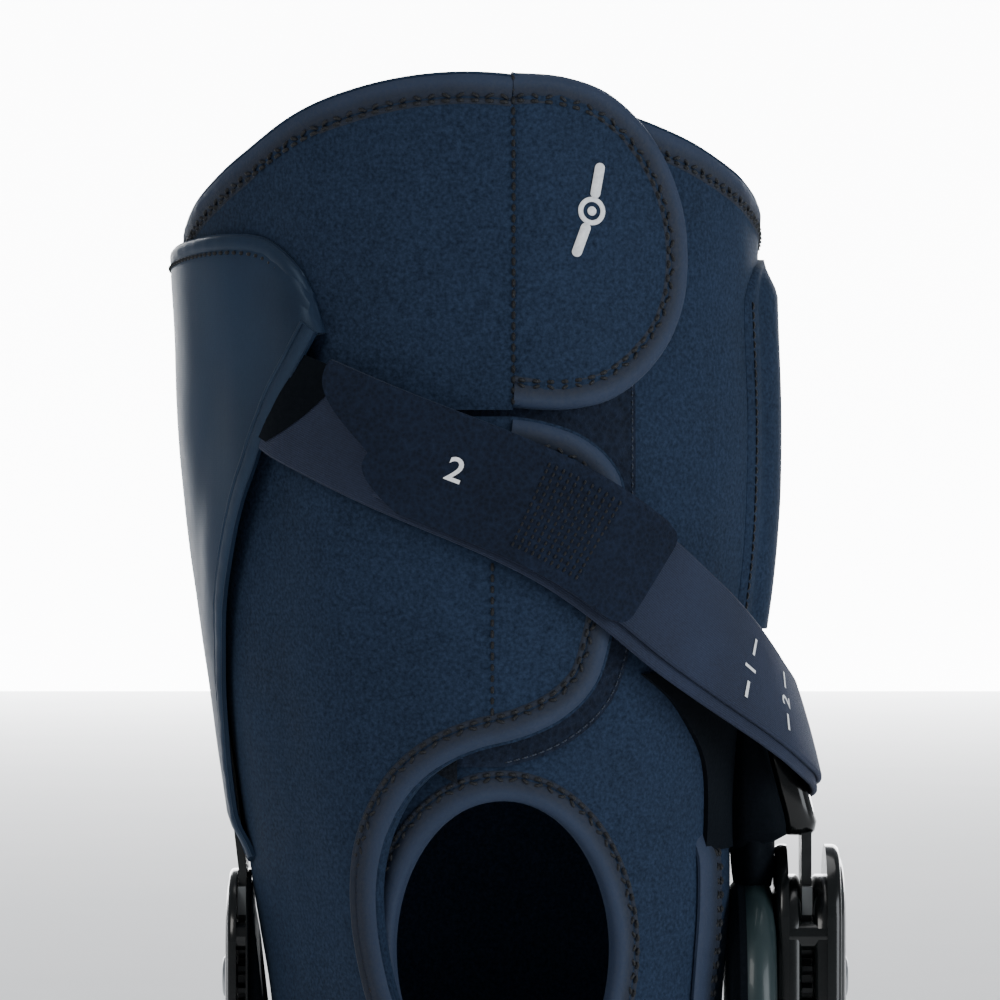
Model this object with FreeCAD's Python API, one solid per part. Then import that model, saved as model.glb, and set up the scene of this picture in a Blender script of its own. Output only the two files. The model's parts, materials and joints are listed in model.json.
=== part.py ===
"""Hinged wraparound knee brace for a right leg.

Millimetres, +Z up the leg, -Y forward, +X to the medial (inner) side.
The origin is the knee centre, midway between the two gear pivots of each hinge.
The brace is a thigh half and a calf half, built by the same functions: heights are
given away from the knee, and side +1 is the thigh, side -1 the calf.
"""
import FreeCAD, Part
import math
import os

V = FreeCAD.Vector
UP = V(0, 0, 1)

# ---- overall sizes -------------------------------------------------------------
THIGH_LENGTH = 233.0        # knee centre to the top of the front flap
CALF_LENGTH = 183.0         # knee centre to the lowest edge
DESIGN_LENGTH = 233.0       # height at which the outlines below are drawn
KNEE_ZONE = 60.0            # the knee webs end here and the two halves begin
POPLITEAL_ZONE = 92.0       # the rear walls begin here, which leaves the knee free to bend

KNEE_HALF_WIDTH = 52.0      # inside of the sleeve
THIGH_HALF_WIDTH = 67.5
CALF_HALF_WIDTH = 55.0
KNEE_HALF_DEPTH = 58.0
THIGH_HALF_DEPTH = 68.0
CALF_HALF_DEPTH = 58.0

# ---- layers, measured outward from the inside of the sleeve --------------------
PANEL = 4.0                 # neoprene
LOOP_NAP = 0.7              # loop patch on the medial panel
LAYER_GAP = 0.3             # between layers that part from each other
FACE_GAP = 0.15             # between curved faces that are sewn together
HOOK = 0.6                  # hook patch under a flap
FLAP = 3.4                  # front layer over the medial panel
BINDING_PROUD = 0.4         # edge tape stands this much proud
EDGE_TAPE = 8.0             # width of the edge tape
STRAP = 1.6                 # webbing
TAB = 2.0                   # hook tab on the strap
STRAP_WIDTH = 25.0
TAB_WIDTH = 28.0
COVER = 3.9                 # padded cover over the lateral bar

# ---- hinges ---------------------------------------------------------------------
GEAR_TEETH = 14
GEAR_PITCH_R = 11.0
PRESSURE_ANGLE = 20.0
TOOTH_PLAY = 0.16           # each tooth is this much thinner at the pitch circle
BAR_WIDTH = 16.0
BAR = 2.5                   # bar thickness, medial
LATERAL_BAR = 2.0
BAR_END = 185.0             # height where both bars end
PIN_R = 3.0
PIN_CLEARANCE = 0.05
PIN_HEAD_R = 5.0
PIN_HEAD = 1.0
COVER_HALF_WIDTH = 19.0
MEDIAL_COVER_HALF = 44.0    # half length of a hinge cover
LATERAL_COVER_HALF = 38.0
MEDIAL_STANDS_OFF = 23.7    # medial bar from the inside of the sleeve, at the hinge
MEDIAL_STRAIGHT = 50.0      # each bar is straight to this height, then bends to the sleeve
MEDIAL_MEETS = 96.0
LATERAL_STRAIGHT = 38.5
LATERAL_MEETS = 62.0
POCKET_LAYER = PANEL + 0.6  # inner face of a bar where it lies along the sleeve
SIDE_PLAY = 0.2             # beside each bar
MEDIAL_GAP = 3.5            # from the medial bars to either cover
MEDIAL_COVERS = (3.0, 3.5)  # thickness of the inner and the outer cover
LATERAL_COVERS = (1.0, 2.2)
SPACER_R = 3.5
SPACERS = ((-13.5, 22.0), (-13.5, -22.0), (17.0, 0.0))      # y and z of each spacer
WASHER_R = 8.0
STOP_WIDTH = 3.2
STOP_LENGTH = 7.0
STOP_FROM = 27.0            # height above the knee where the stop block begins
STOP_PLAY = 0.3
CONDYLE_R = 32.0
CONDYLE_PAD = 10.5
CONDYLE_Z = 4.0
CONDYLE_ROUND = 3.5
PAD_GAP = 3.0               # between the pad and the inner cover
BOOT_FROM = 45.5            # padded boot between the sleeve and the medial bar
BOOT_TO = 84.0
BOOT_HALF = 12.0
BOOT_CLEAR = 3.4            # room beside the bar for the ring plate and its rivets

# ---- strap ring ------------------------------------------------------------------
RING_PLATE = 2.0
RING_BASE = (26.0, 12.0)    # depth and height of the riveted plate
RING_FRONT = -6.0
RING_LOOP_FROM = 14.0
RING_LOOP_DEPTH = 13.0
RING_SLOT = 4.6
RING_SLOT_FROM = 18.0
RIVET_R = 2.0
RIVET_SPREAD = 3.4          # half the distance between the two rivets

# ---- patella opening ------------------------------------------------------------
PATELLA_X = 3.5
PATELLA_Z = 20.5
PATELLA_HALF_WIDTH = 28.5
PATELLA_HALF_HEIGHT = 37.0

# ---- open ends: height of the rim at the back, and how much it rises to the front
RIM_BACK = 192.0
RIM_RISE = 36.0

# ---- outlines of the front layer: distance from the mid line, height above the knee
FLAP_LINE_X = 5.4           # stitched line where the flap folds open
FLAP_EDGE = [(5.4, 232.5), (17, 231.5), (28, 227.5), (38, 218), (44.5, 205), (47, 190),
             (45.5, 175), (40, 163.5), (30, 154.5), (18, 151.3), (5.4, 151.5)]
TONGUE_EDGE = [(-12, 150.5), (2, 150), (14, 148.5), (24, 143.5), (30, 136), (32.5, 124),
               (31, 106), (26.5, 93), (18, 84.5), (6, 80), (-6, 75.5), (-17, 69.5),
               (-22, 64), (-25, 60.5)]
CALF_FLAP_FROM = 156.5      # the calf flap ends higher, to clear the strap that crosses it
COVER_EDGE = [(-90, 195), (-64, 196.5), (-52, 192), (-43, 184), (-38, 170), (-44, 158),
              (-52, 142), (-58, 122), (-62.5, 100), (-64.5, 80), (-64, 60), (-60, 50)]
LOOP_EDGE = [(-10, 205), (36.5, 205), (36.5, 95), (33, 86), (27, 78), (18, 72), (7, 69),
             (-10, 72)]

# ---- straps: the middle of the webbing, height at an angle round the leg ---------
STRAP_LINE = [(-46, 161), (-18.4, 144.5), (14.5, 125), (43, 100), (72, 78.5), (90, 71.5),
              (104, 69)]
STRAP_START = -46.0
STRAP_RISE = 12.0           # degrees in which it comes out from under the cover
STRAP_LEAVES = 35.0         # from here it leaves the sleeve for the ring
STRAP_END = 100.0
STRAP_OVER_FLAPS = 10.6     # layer height over the front
STRAP_OVER_BAR = 2.4        # clearance over the medial bar
TAB_START = -27.0
TAB_FOLD = 3.0              # the tab peels from here
TAB_FINISH = 31.0


# ---- sleeve surface --------------------------------------------------------------
def stations():
    """Height, half width, half depth and centre of the inside of the sleeve."""
    thigh = THIGH_HALF_WIDTH
    depth = THIGH_HALF_DEPTH
    return [
        (-CALF_LENGTH - 20, CALF_HALF_WIDTH - 6.5, CALF_HALF_DEPTH - 5.5, 0.0, 3.0),
        (-CALF_LENGTH, CALF_HALF_WIDTH - 4.0, CALF_HALF_DEPTH - 3.5, 0.0, 4.0),
        (-0.68 * CALF_LENGTH, CALF_HALF_WIDTH, CALF_HALF_DEPTH, 0.4, 6.5),
        (-KNEE_ZONE, 0.5 * (KNEE_HALF_WIDTH + CALF_HALF_WIDTH) - 1.0,
         0.5 * (KNEE_HALF_DEPTH + CALF_HALF_DEPTH) - 1.0, 1.2, 3.0),
        (0.0, KNEE_HALF_WIDTH, KNEE_HALF_DEPTH, 1.8, 0.5),
        (0.5 * KNEE_ZONE, 0.82 * KNEE_HALF_WIDTH + 0.18 * thigh,
         0.85 * KNEE_HALF_DEPTH + 0.15 * depth, 0.8, 0.0),
        (KNEE_ZONE, 0.65 * KNEE_HALF_WIDTH + 0.35 * thigh,
         0.62 * KNEE_HALF_DEPTH + 0.38 * depth, -1.2, 0.0),
        (0.52 * THIGH_LENGTH, 0.16 * KNEE_HALF_WIDTH + 0.84 * thigh,
         0.15 * KNEE_HALF_DEPTH + 0.85 * depth, -2.2, 0.0),
        (0.82 * THIGH_LENGTH, thigh, depth, -4.5, 0.0),
        (THIGH_LENGTH, thigh + 1.0, depth + 1.0, -5.5, 0.0),
        (THIGH_LENGTH + 20, thigh + 1.5, depth + 1.5, -6.0, 0.0),
    ]


STATIONS = stations()


def section(z):
    """Smooth half width, half depth, centre x and centre y at a height."""
    last = len(STATIONS) - 1
    z = min(max(z, STATIONS[0][0]), STATIONS[last][0])
    k = 0
    while k < last - 1 and z > STATIONS[k + 1][0]:
        k += 1
    before = STATIONS[max(k - 1, 0)]
    here = STATIONS[k]
    there = STATIONS[k + 1]
    after = STATIONS[min(k + 2, last)]
    run = there[0] - here[0]
    t = (z - here[0]) / run
    values = []
    for i in range(1, 5):
        slope_here = (there[i] - before[i]) / (there[0] - before[0]) * run
        slope_there = (after[i] - here[i]) / (after[0] - here[0]) * run
        values.append((2 * t**3 - 3 * t**2 + 1) * here[i] + (t**3 - 2 * t**2 + t) * slope_here
                      + (3 * t**2 - 2 * t**3) * there[i] + (t**3 - t**2) * slope_there)
    return values


def spot(angle, z, layer):
    """Point on the sleeve: degrees from the front towards +X, height, layer height."""
    half_width, half_depth, centre_x, centre_y = section(z)
    turn = math.radians(angle)
    return V(centre_x + (half_width + layer) * math.sin(turn),
             centre_y - (half_depth + layer) * math.cos(turn), z)


def angle_at(x, z, layer=0.0):
    """Angle from the front at which the front of the sleeve has this x."""
    half_width, _, centre_x, _ = section(z)
    return math.degrees(math.asin((x - centre_x) / (half_width + layer)))


def lift(height, side):
    """Height above the knee in a drawn outline, as a real z in one half."""
    length = THIGH_LENGTH if side > 0 else CALF_LENGTH
    if height > KNEE_ZONE:
        share = (height - KNEE_ZONE) / (DESIGN_LENGTH - KNEE_ZONE)
        height = KNEE_ZONE + share * (length - KNEE_ZONE)
    return side * height


# ---- solids ------------------------------------------------------------------------
def surface(grid):
    patch = Part.BSplineSurface()
    patch.interpolate(grid)
    return patch


def sheet(layer_in, layer_out, start, finish, low, high, rows=9, columns=None):
    """Curved slab between two layers, two angles and two heights (numbers or functions)."""
    columns = columns or max(5, int(abs(finish - start) / 9) + 1)
    grids = []
    for layer in (layer_in, layer_out):
        grid = []
        for i in range(columns):
            angle = start + (finish - start) * i / (columns - 1)
            bottom = low(angle) if callable(low) else low
            top = high(angle) if callable(high) else high
            grid.append([spot(angle, bottom + (top - bottom) * j / (rows - 1), layer)
                         for j in range(rows)])
        grids.append(surface(grid))
    inner, outer = grids
    faces = [inner.toShape(), outer.toShape()]
    u0, u1, v0, v1 = outer.bounds()
    for cut in ("uIso", "vIso"):
        for value in ((u0, u1) if cut == "uIso" else (v0, v1)):
            rails = [getattr(one, cut)(value).toShape() for one in (inner, outer)]
            faces.append(Part.makeRuledSurface(rails[0], rails[1]))
    shell = Part.Shell(faces)
    shell.sewShape()
    solid = Part.Solid(shell)
    if solid.Volume < 0:
        solid.reverse()
    return solid


def smooth(points, steps=5):
    """Evenly curved line through a few points."""
    line = []
    for k in range(len(points) - 1):
        p0 = points[max(k - 1, 0)]
        p1 = points[k]
        p2 = points[k + 1]
        p3 = points[min(k + 2, len(points) - 1)]
        for step in range(steps):
            t = step / steps
            line.append(tuple(
                0.5 * (2 * b + (c - a) * t + (2 * a - 5 * b + 4 * c - d) * t**2
                       + (3 * b - a - 3 * c + d) * t**3)
                for a, b, c, d in zip(p0, p1, p2, p3)))
    line.append(points[-1])
    return line


def inset(line, distance):
    """The same line moved to its right-hand side."""
    moved = []
    for k, (x, h) in enumerate(line):
        ahead = line[min(k + 1, len(line) - 1)]
        behind = line[max(k - 1, 0)]
        run = math.hypot(ahead[0] - behind[0], ahead[1] - behind[1])
        moved.append((x + (ahead[1] - behind[1]) / run * distance,
                      h - (ahead[0] - behind[0]) / run * distance))
    return moved


def slab(line, side, closing=()):
    """Block behind an outline in front view, from well in front to the mid plane."""
    points = [V(x, -140, lift(h, side)) for x, h in list(line) + list(closing)]
    wire = Part.makePolygon(points + [points[0]])
    return Part.Face(wire).extrude(V(0, 135, 0))


def cylinder(radius, x0, x1, y, z):
    return Part.makeCylinder(radius, x1 - x0, V(x0, y, z), V(1, 0, 0))


def plate(outline, x0, x1):
    """Flat plate from an outline in the side view (y, z)."""
    points = [V(x0, y, z) for y, z in outline]
    return Part.Face(Part.makePolygon(points + [points[0]])).extrude(V(x1 - x0, 0, 0))


def ribbon(path, width, thick):
    """Band along (point, outward normal) pairs, its inner face on the points."""
    sections = []
    for k, (point, normal) in enumerate(path):
        ahead = path[min(k + 1, len(path) - 1)][0]
        behind = path[max(k - 1, 0)][0]
        across = (ahead - behind).cross(normal)
        across.normalize()
        edge = across * (width / 2)
        depth = normal * thick
        corners = [point + edge, point - edge, point - edge + depth, point + edge + depth]
        sections.append(Part.makePolygon(corners + [corners[0]]))
    return Part.makeLoft(sections, True, False)


def tidy(shape):
    solids = [s for s in shape.Solids if s.Volume > 1.0]
    return solids[0] if len(solids) == 1 else Part.makeCompound(solids)


NODES = {}


def add(name, shape):
    NODES[name] = tidy(shape)


# ---- sleeve halves -------------------------------------------------------------------
SEAM = 125.0                # side panels meet the rear panel here
FRONT_SEAM = -17.0          # edge of the medial panel under the front layer
FRONT_START = -33.0         # lateral edge of the front layer, under the cover's edge
FRONT_FINISH = 58.0
KNEE_SEAM = 3.0             # the knee webs meet above and below the patella opening


def rim(side, drop=0.0):
    """Height of the open end round the leg: high in front, low at the back."""
    def height(angle):
        front = 0.5 + 0.5 * math.cos(math.radians(min(abs(angle), 360 - abs(angle))))
        return lift(RIM_BACK + RIM_RISE * front**2 - drop, side)
    return height


def ordered(side, low, high):
    return (low, high) if side > 0 else (high, low)


def patella_block(grow, front=-140.0):
    """Oval block through the front of the sleeve."""
    points = []
    for step in range(48):
        turn = 2 * math.pi * step / 48
        points.append(V(PATELLA_X + (PATELLA_HALF_WIDTH + grow) * math.cos(turn), front,
                        PATELLA_Z + (PATELLA_HALF_HEIGHT + grow) * math.sin(turn)))
    curve = Part.BSplineCurve()
    curve.interpolate(Points=points, PeriodicFlag=True)
    return Part.Face(Part.Wire(curve.toShape())).extrude(V(0, 135, 0))


def panels(half, side):
    bottom = side * KNEE_ZONE
    top = rim(side, EDGE_TAPE)
    window = patella_block(EDGE_TAPE + 0.8)
    low, high = ordered(side, bottom, top)
    add(half + "_lateral_panel",
        sheet(0, PANEL, -SEAM, FRONT_SEAM, low, high).cut(window))
    add(half + "_medial_panel",
        sheet(0, PANEL, FRONT_SEAM, SEAM, low, high).cut(window))
    low, high = ordered(side, side * POPLITEAL_ZONE, top)
    add(half + "_rear_panel", sheet(0, PANEL, SEAM, 360 - SEAM, low, high))
    low, high = ordered(side, top, rim(side))
    tape = [sheet(-BINDING_PROUD, PANEL + BINDING_PROUD, start, start + 180, low, high, 4)
            for start in (-180, 0)]
    add(half + "_rim_binding", tape[0].fuse(tape[1]).removeSplitter())


def front_layer(half, side):
    """Loop patch, front panel, flap with its hook and edge tape, and the lower tongue."""
    base = PANEL + LOOP_NAP + LAYER_GAP
    skin = base + HOOK
    top = skin + FLAP
    low, high = ordered(side, side * (KNEE_ZONE + 0.4), lift(DESIGN_LENGTH + 4, side))
    nap = sheet(PANEL + FACE_GAP, PANEL + LOOP_NAP, -16, 48, low, high)
    add(half + "_loop_patch", nap.common(slab(LOOP_EDGE, side)))

    hook_layer = sheet(base, skin - FACE_GAP, FRONT_START, FRONT_FINISH, low, high)
    layer = sheet(skin, top, FRONT_START, FRONT_FINISH, low, high)
    tape_layer = sheet(base, top + BINDING_PROUD, FRONT_START, FRONT_FINISH, low, high)

    lowest = 0.0 if side > 0 else CALF_FLAP_FROM
    edge = smooth([(x, max(height, lowest)) for x, height in FLAP_EDGE])
    inner = inset(edge, EDGE_TAPE)
    inner[0] = (FLAP_LINE_X, inner[0][1])
    inner[-1] = (FLAP_LINE_X, inner[-1][1])
    whole = slab(edge, side)
    core = slab(inner, side)
    add(half + "_flap", layer.common(core))
    add(half + "_flap_hook", hook_layer.common(core))
    add(half + "_flap_binding", tape_layer.common(whole.cut(core)))

    tongue = smooth(TONGUE_EDGE)
    tongue_inner = inset(tongue, EDGE_TAPE)
    fold = FLAP_LINE_X - 0.5
    left = [(fold, 152.5), (fold, 226), (-20, 222), (-42, 212), (-60, 196), (-68, 190),
            (-68, KNEE_ZONE + 0.4), (-34, KNEE_ZONE + 0.4)]
    field = slab(tongue_inner, side,
                 [(-40, KNEE_ZONE + 0.4), (-40, tongue_inner[0][1])])
    body = slab(list(reversed(left)), side).fuse(field)
    band = slab(tongue, side, [(-33.5, KNEE_ZONE + 0.4), (-30, 100),
                               (tongue[0][0], tongue_inner[0][1])])
    start = tongue[0][0]
    slit = slab([(start, 150.4), (start, 152.4), (60, 152.4), (60, 150.4)], side)
    gap = slab([(start, 147.0), (start, 152.4), (60, 152.4), (60, 147.0)], side)
    body = body.cut(band.cut(field)).cut(gap)
    add(half + "_front_panel", layer.common(body))
    add(half + "_front_hook", hook_layer.common(field)
        .common(slab([(-25, 149), (60, 149), (60, 62), (-25, 62)], side)))
    add(half + "_front_binding", tape_layer.common(band.cut(field)).cut(slit))


# ---- bars and hinges --------------------------------------------------------------------
def gear(x0, x1, z, tooth_down):
    """Full gear about an X axis; a tooth points straight down when tooth_down is true."""
    module = 2 * GEAR_PITCH_R / GEAR_TEETH
    base_r = GEAR_PITCH_R * math.cos(math.radians(PRESSURE_ANGLE))
    tip_r = GEAR_PITCH_R + 0.8 * module
    root_r = GEAR_PITCH_R - 1.05 * module
    involute = math.tan(math.radians(PRESSURE_ANGLE)) - math.radians(PRESSURE_ANGLE)
    half_tooth = math.pi / (2 * GEAR_TEETH) - TOOTH_PLAY / (2 * GEAR_PITCH_R)
    flank = [(root_r, half_tooth + involute)]
    for step in range(6):
        r = base_r + (tip_r - base_r) * step / 5
        roll = math.acos(min(1.0, base_r / r))
        flank.append((r, half_tooth + involute - (math.tan(roll) - roll)))
    shift = 0.0 if tooth_down else math.pi / GEAR_TEETH
    outline = []
    for tooth in range(GEAR_TEETH):
        centre = -math.pi / 2 + shift + 2 * math.pi * tooth / GEAR_TEETH
        for r, a in flank:
            outline.append((r * math.cos(centre - a), z + r * math.sin(centre - a)))
        for r, a in reversed(flank):
            outline.append((r * math.cos(centre + a), z + r * math.sin(centre + a)))
    return plate(outline, x0, x1)


def side_profile(faces, thick, outward):
    """Bar seen from the front: its inner face as (x, z) points, thickened outward."""
    inner = [V(x, -BAR_WIDTH / 2, z) for x, z in faces]
    outer = [V(x + outward * thick, -BAR_WIDTH / 2, z) for x, z in reversed(faces)]
    face = Part.Face(Part.makePolygon(inner + outer + [inner[0]]))
    return face.extrude(V(0, BAR_WIDTH, 0))


def side_x(z, layer, outward):
    half_width, _, centre_x, _ = section(z)
    return centre_x + outward * (half_width + layer)


def bar_faces(side, outward, hinge_x, straight, meets, layer):
    """Inner face of a bar: straight at the hinge, bent to the sleeve, then following it."""
    end = abs(lift(BAR_END, side))
    faces = [(hinge_x, side * GEAR_PITCH_R), (hinge_x, side * straight)]
    steps = 8
    for step in range(steps + 1):
        z = side * (meets + (end - meets) * step / steps)
        faces.append((side_x(z, layer, outward), z))
    return faces


def bar(side, outward, hinge_x, straight, meets, layer, thick):
    faces = bar_faces(side, outward, hinge_x, straight, meets, layer)
    strip = side_profile(faces, thick, outward)
    end = abs(lift(BAR_END, side))
    rounded = cylinder(BAR_WIDTH / 2, -150, 150, 0, side * (end - BAR_WIDTH / 2))
    lower = min(side * GEAR_PITCH_R, side * (end - BAR_WIDTH / 2))
    shaft = Part.makeBox(300, BAR_WIDTH, end - BAR_WIDTH / 2 - GEAR_PITCH_R,
                         V(-150, -BAR_WIDTH / 2, lower))
    strip = strip.common(rounded.fuse(shaft))
    x0, x1 = sorted((hinge_x, hinge_x + outward * thick))
    whole = strip.fuse(gear(x0, x1, side * GEAR_PITCH_R, side > 0)).removeSplitter()
    hole = cylinder(PIN_R + PIN_CLEARANCE, x0 - 1, x1 + 1, 0, side * GEAR_PITCH_R)
    return whole.cut(hole)


def stadium(half_width, half_length, x0, x1):
    reach = half_length - half_width
    middle = Part.makeBox(x1 - x0, 2 * half_width, 2 * reach, V(x0, -half_width, -reach))
    ends = [cylinder(half_width, x0, x1, 0, s * reach) for s in (-1, 1)]
    return middle.fuse(ends).removeSplitter()


def rounded_edges(solid, x, radius):
    """Round the edges that lie in one side plane."""
    edges = [e for e in solid.Edges
             if abs(e.BoundBox.XMin - x) < 1e-4 and abs(e.BoundBox.XMax - x) < 1e-4]
    return solid.makeFillet(radius, edges)


def hinge(name, outward, bar_x, thick, half_length, gap, covers):
    """Covers, pins, washers and stop round one pair of bars.

    bar_x is the bars' inner face and gap the space to either cover.
    """
    inner, outer = covers

    def place(near, far):
        return sorted((bar_x + outward * near, bar_x + outward * far))

    inner_near, inner_far = place(-gap - inner, -gap)
    outer_near, outer_far = place(thick + gap, thick + gap + outer)
    pin_span = place(-gap - inner, thick + gap + outer)
    pins = [cylinder(PIN_R, pin_span[0], pin_span[1], 0, s * GEAR_PITCH_R) for s in (-1, 1)]
    head_span = place(thick + gap + outer, thick + gap + outer + PIN_HEAD)
    heads = [cylinder(PIN_HEAD_R, head_span[0], head_span[1], 0, s * GEAR_PITCH_R)
             for s in (-1, 1)]
    add(name + "_pivot_pins", Part.makeCompound([p.fuse(h) for p, h in zip(pins, heads)]))

    holes = Part.makeCompound(pins)
    add(name + "_inner_cover",
        stadium(COVER_HALF_WIDTH, half_length, inner_near, inner_far).cut(holes))
    shield = stadium(COVER_HALF_WIDTH, half_length, outer_near, outer_far)
    outside = bar_x + outward * (thick + gap + outer)
    add(name + "_outer_cover", rounded_edges(shield, outside, outer * 0.45).cut(holes))

    parts = []
    between = place(-gap, thick + gap)
    for y, z in SPACERS:
        parts.append(cylinder(SPACER_R, between[0], between[1], y, z))
    for near, far in ((-gap, -SIDE_PLAY), (thick + SIDE_PLAY, thick + gap)):
        if abs(far - near) > 0.5:
            span = place(near, far)
            for s in (-1, 1):
                washer = cylinder(WASHER_R, span[0], span[1], 0, s * GEAR_PITCH_R)
                parts.append(washer.cut(holes))
    add(name + "_spacers", Part.makeCompound(parts))

    span = place(0, thick)
    stops = []
    for s in (-1, 1):
        low = min(s * STOP_FROM, s * (STOP_FROM + STOP_LENGTH))
        front = -BAR_WIDTH / 2 - STOP_PLAY - STOP_WIDTH
        stops.append(Part.makeBox(span[1] - span[0], STOP_WIDTH, STOP_LENGTH,
                                  V(span[0], front, low)))
    add(name + "_extension_stop", Part.makeCompound(stops))


def hinge_places():
    """Inner faces of the medial and lateral bars at the hinges, clear of the sleeve."""
    medial = side_x(0.0, MEDIAL_STANDS_OFF, 1)
    widest = min(side_x(s * LATERAL_COVER_HALF, PANEL, -1) for s in (-1, 1))
    return medial, widest - LATERAL_COVERS[0] - 2 * SIDE_PLAY


MEDIAL_BAR_X, LATERAL_BAR_X = hinge_places()


def boot(side):
    """Pad that fills the space between the sleeve and the leaning medial bar."""
    inner = []
    outer = []
    for step in range(7):
        height = BOOT_FROM + (BOOT_TO - BOOT_FROM) * step / 6
        z = side * height
        bent = max(0.0, height - MEDIAL_STRAIGHT) * math.tan(bar_lean(side))
        inner.append(V(side_x(z, PANEL + LAYER_GAP, 1), -BOOT_HALF, z))
        outer.append(V(MEDIAL_BAR_X - bent - BOOT_CLEAR, -BOOT_HALF, z))
    face = Part.Face(Part.makePolygon(inner + outer[::-1] + [inner[0]]))
    return face.extrude(V(0, 2 * BOOT_HALF, 0))


def hardware(half, side):
    medial = bar(side, 1, MEDIAL_BAR_X, MEDIAL_STRAIGHT, MEDIAL_MEETS, POCKET_LAYER, BAR)
    add(half + "_medial_bar", medial)
    low, high = ordered(side, lift(100, side), lift(BAR_END + 4, side))
    pocket = sheet(PANEL + FACE_GAP, PANEL + 4.2, 79, 101, low, high)
    add(half + "_medial_pocket", Part.makeCompound([pocket.cut(medial), boot(side)]))

    lateral = bar(side, -1, LATERAL_BAR_X, LATERAL_STRAIGHT, LATERAL_MEETS,
                  POCKET_LAYER - 0.2, LATERAL_BAR)
    add(half + "_lateral_bar", lateral)
    low, high = ordered(side, side * (KNEE_ZONE + 0.4), rim(side, EDGE_TAPE + 2))
    shell = sheet(PANEL + FACE_GAP, PANEL + COVER, -124, -20, low, high)
    free_edge = slab(smooth(COVER_EDGE), side, [(-90, 50)])
    back = Part.makeBox(120, 80, 600, V(-120, -5, -300))
    shell = shell.common(free_edge.fuse(back))
    add(half + "_lateral_cover", shell.cut(lateral).cut(NODES[half + "_strap_lower"]))
    add(half + "_front_panel", NODES[half + "_front_panel"].cut(shell))


# ---- straps ---------------------------------------------------------------------------------
def ease(share):
    share = max(0.0, min(1.0, share))
    return share**2 * (3 - 2 * share)


def strap_z(angle, side):
    """Height of the middle of the strap on a smooth line through its given points."""
    last = len(STRAP_LINE) - 1
    k = 0
    while k < last - 1 and angle > STRAP_LINE[k + 1][0]:
        k += 1
    before, here = STRAP_LINE[max(k - 1, 0)], STRAP_LINE[k]
    there, after = STRAP_LINE[k + 1], STRAP_LINE[min(k + 2, last)]
    run = there[0] - here[0]
    t = (angle - here[0]) / run
    slope_here = (there[1] - before[1]) / (there[0] - before[0]) * run
    slope_there = (after[1] - here[1]) / (after[0] - here[0]) * run
    height = ((2 * t**3 - 3 * t**2 + 1) * here[1] + (t**3 - 2 * t**2 + t) * slope_here
              + (3 * t**2 - 2 * t**3) * there[1] + (t**3 - t**2) * slope_there)
    return lift(height, side)


def ring_x(z):
    """Outer face of the leaning medial bar where the strap crosses it."""
    meet_x = side_x(math.copysign(MEDIAL_MEETS, z), POCKET_LAYER, 1)
    share = (abs(z) - MEDIAL_STRAIGHT) / (MEDIAL_MEETS - MEDIAL_STRAIGHT)
    return MEDIAL_BAR_X + (meet_x - MEDIAL_BAR_X) * share + BAR


def bar_lean(side):
    """Lean of the medial bar towards the leg, away from the hinge, in radians."""
    meet_x = side_x(side * MEDIAL_MEETS, POCKET_LAYER, 1)
    return math.atan2(MEDIAL_BAR_X - meet_x, MEDIAL_MEETS - MEDIAL_STRAIGHT)


def strap_layer(angle, side):
    """Height of the webbing above the sleeve: low under the cover, then out to the ring."""
    under = PANEL + 1.6
    near = under + (STRAP_OVER_FLAPS - under) * ease((angle - STRAP_START) / STRAP_RISE)
    z = strap_z(90.0, side)
    half_width, _, centre_x, _ = section(z)
    at_ring = ring_x(z) + STRAP_OVER_BAR - half_width - centre_x
    return near + (at_ring - near) * ease((angle - STRAP_LEAVES) / (90.0 - STRAP_LEAVES))


def strap_path(start, finish, extra, side):
    """Points on the inner face of a strap layer, each with its outward direction."""
    lean = bar_lean(side)
    bar_out = V(math.cos(lean), 0, side * math.sin(lean))
    count = max(4, int((finish - start) / 6) + 1)
    path = []
    for step in range(count):
        angle = start + (finish - start) * step / (count - 1)
        z = strap_z(angle, side)
        layer = strap_layer(angle, side) + extra
        here = spot(angle, z, layer)
        ahead = spot(angle + 0.5, strap_z(angle + 0.5, side),
                     strap_layer(angle + 0.5, side) + extra)
        along = ahead - here
        skin = (spot(angle + 1, z, layer) - spot(angle - 1, z, layer)).cross(
            spot(angle, z + 1, layer) - spot(angle, z - 1, layer))
        skin.normalize()
        share = ease((angle - STRAP_LEAVES) / (90.0 - STRAP_LEAVES))
        out = skin * (1 - share) + bar_out * share
        across = out.cross(along)
        normal = along.cross(across)
        normal.normalize()
        path.append((here, normal))
    return path


def straps(half, side):
    gap = 2 * FACE_GAP
    add(half + "_strap_lower",
        ribbon(strap_path(STRAP_START, STRAP_END, 0, side), STRAP_WIDTH, STRAP))
    add(half + "_strap_upper",
        ribbon(strap_path(TAB_START + 6, STRAP_END, STRAP + gap, side), STRAP_WIDTH, STRAP))
    over = 2 * STRAP + 2 * gap
    add(half + "_strap_tab",
        ribbon(strap_path(TAB_START, TAB_FOLD, over, side), TAB_WIDTH, TAB))
    add(half + "_strap_tab_base",
        ribbon(strap_path(TAB_FOLD + 0.5, TAB_FINISH, over, side), TAB_WIDTH, TAB))


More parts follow.
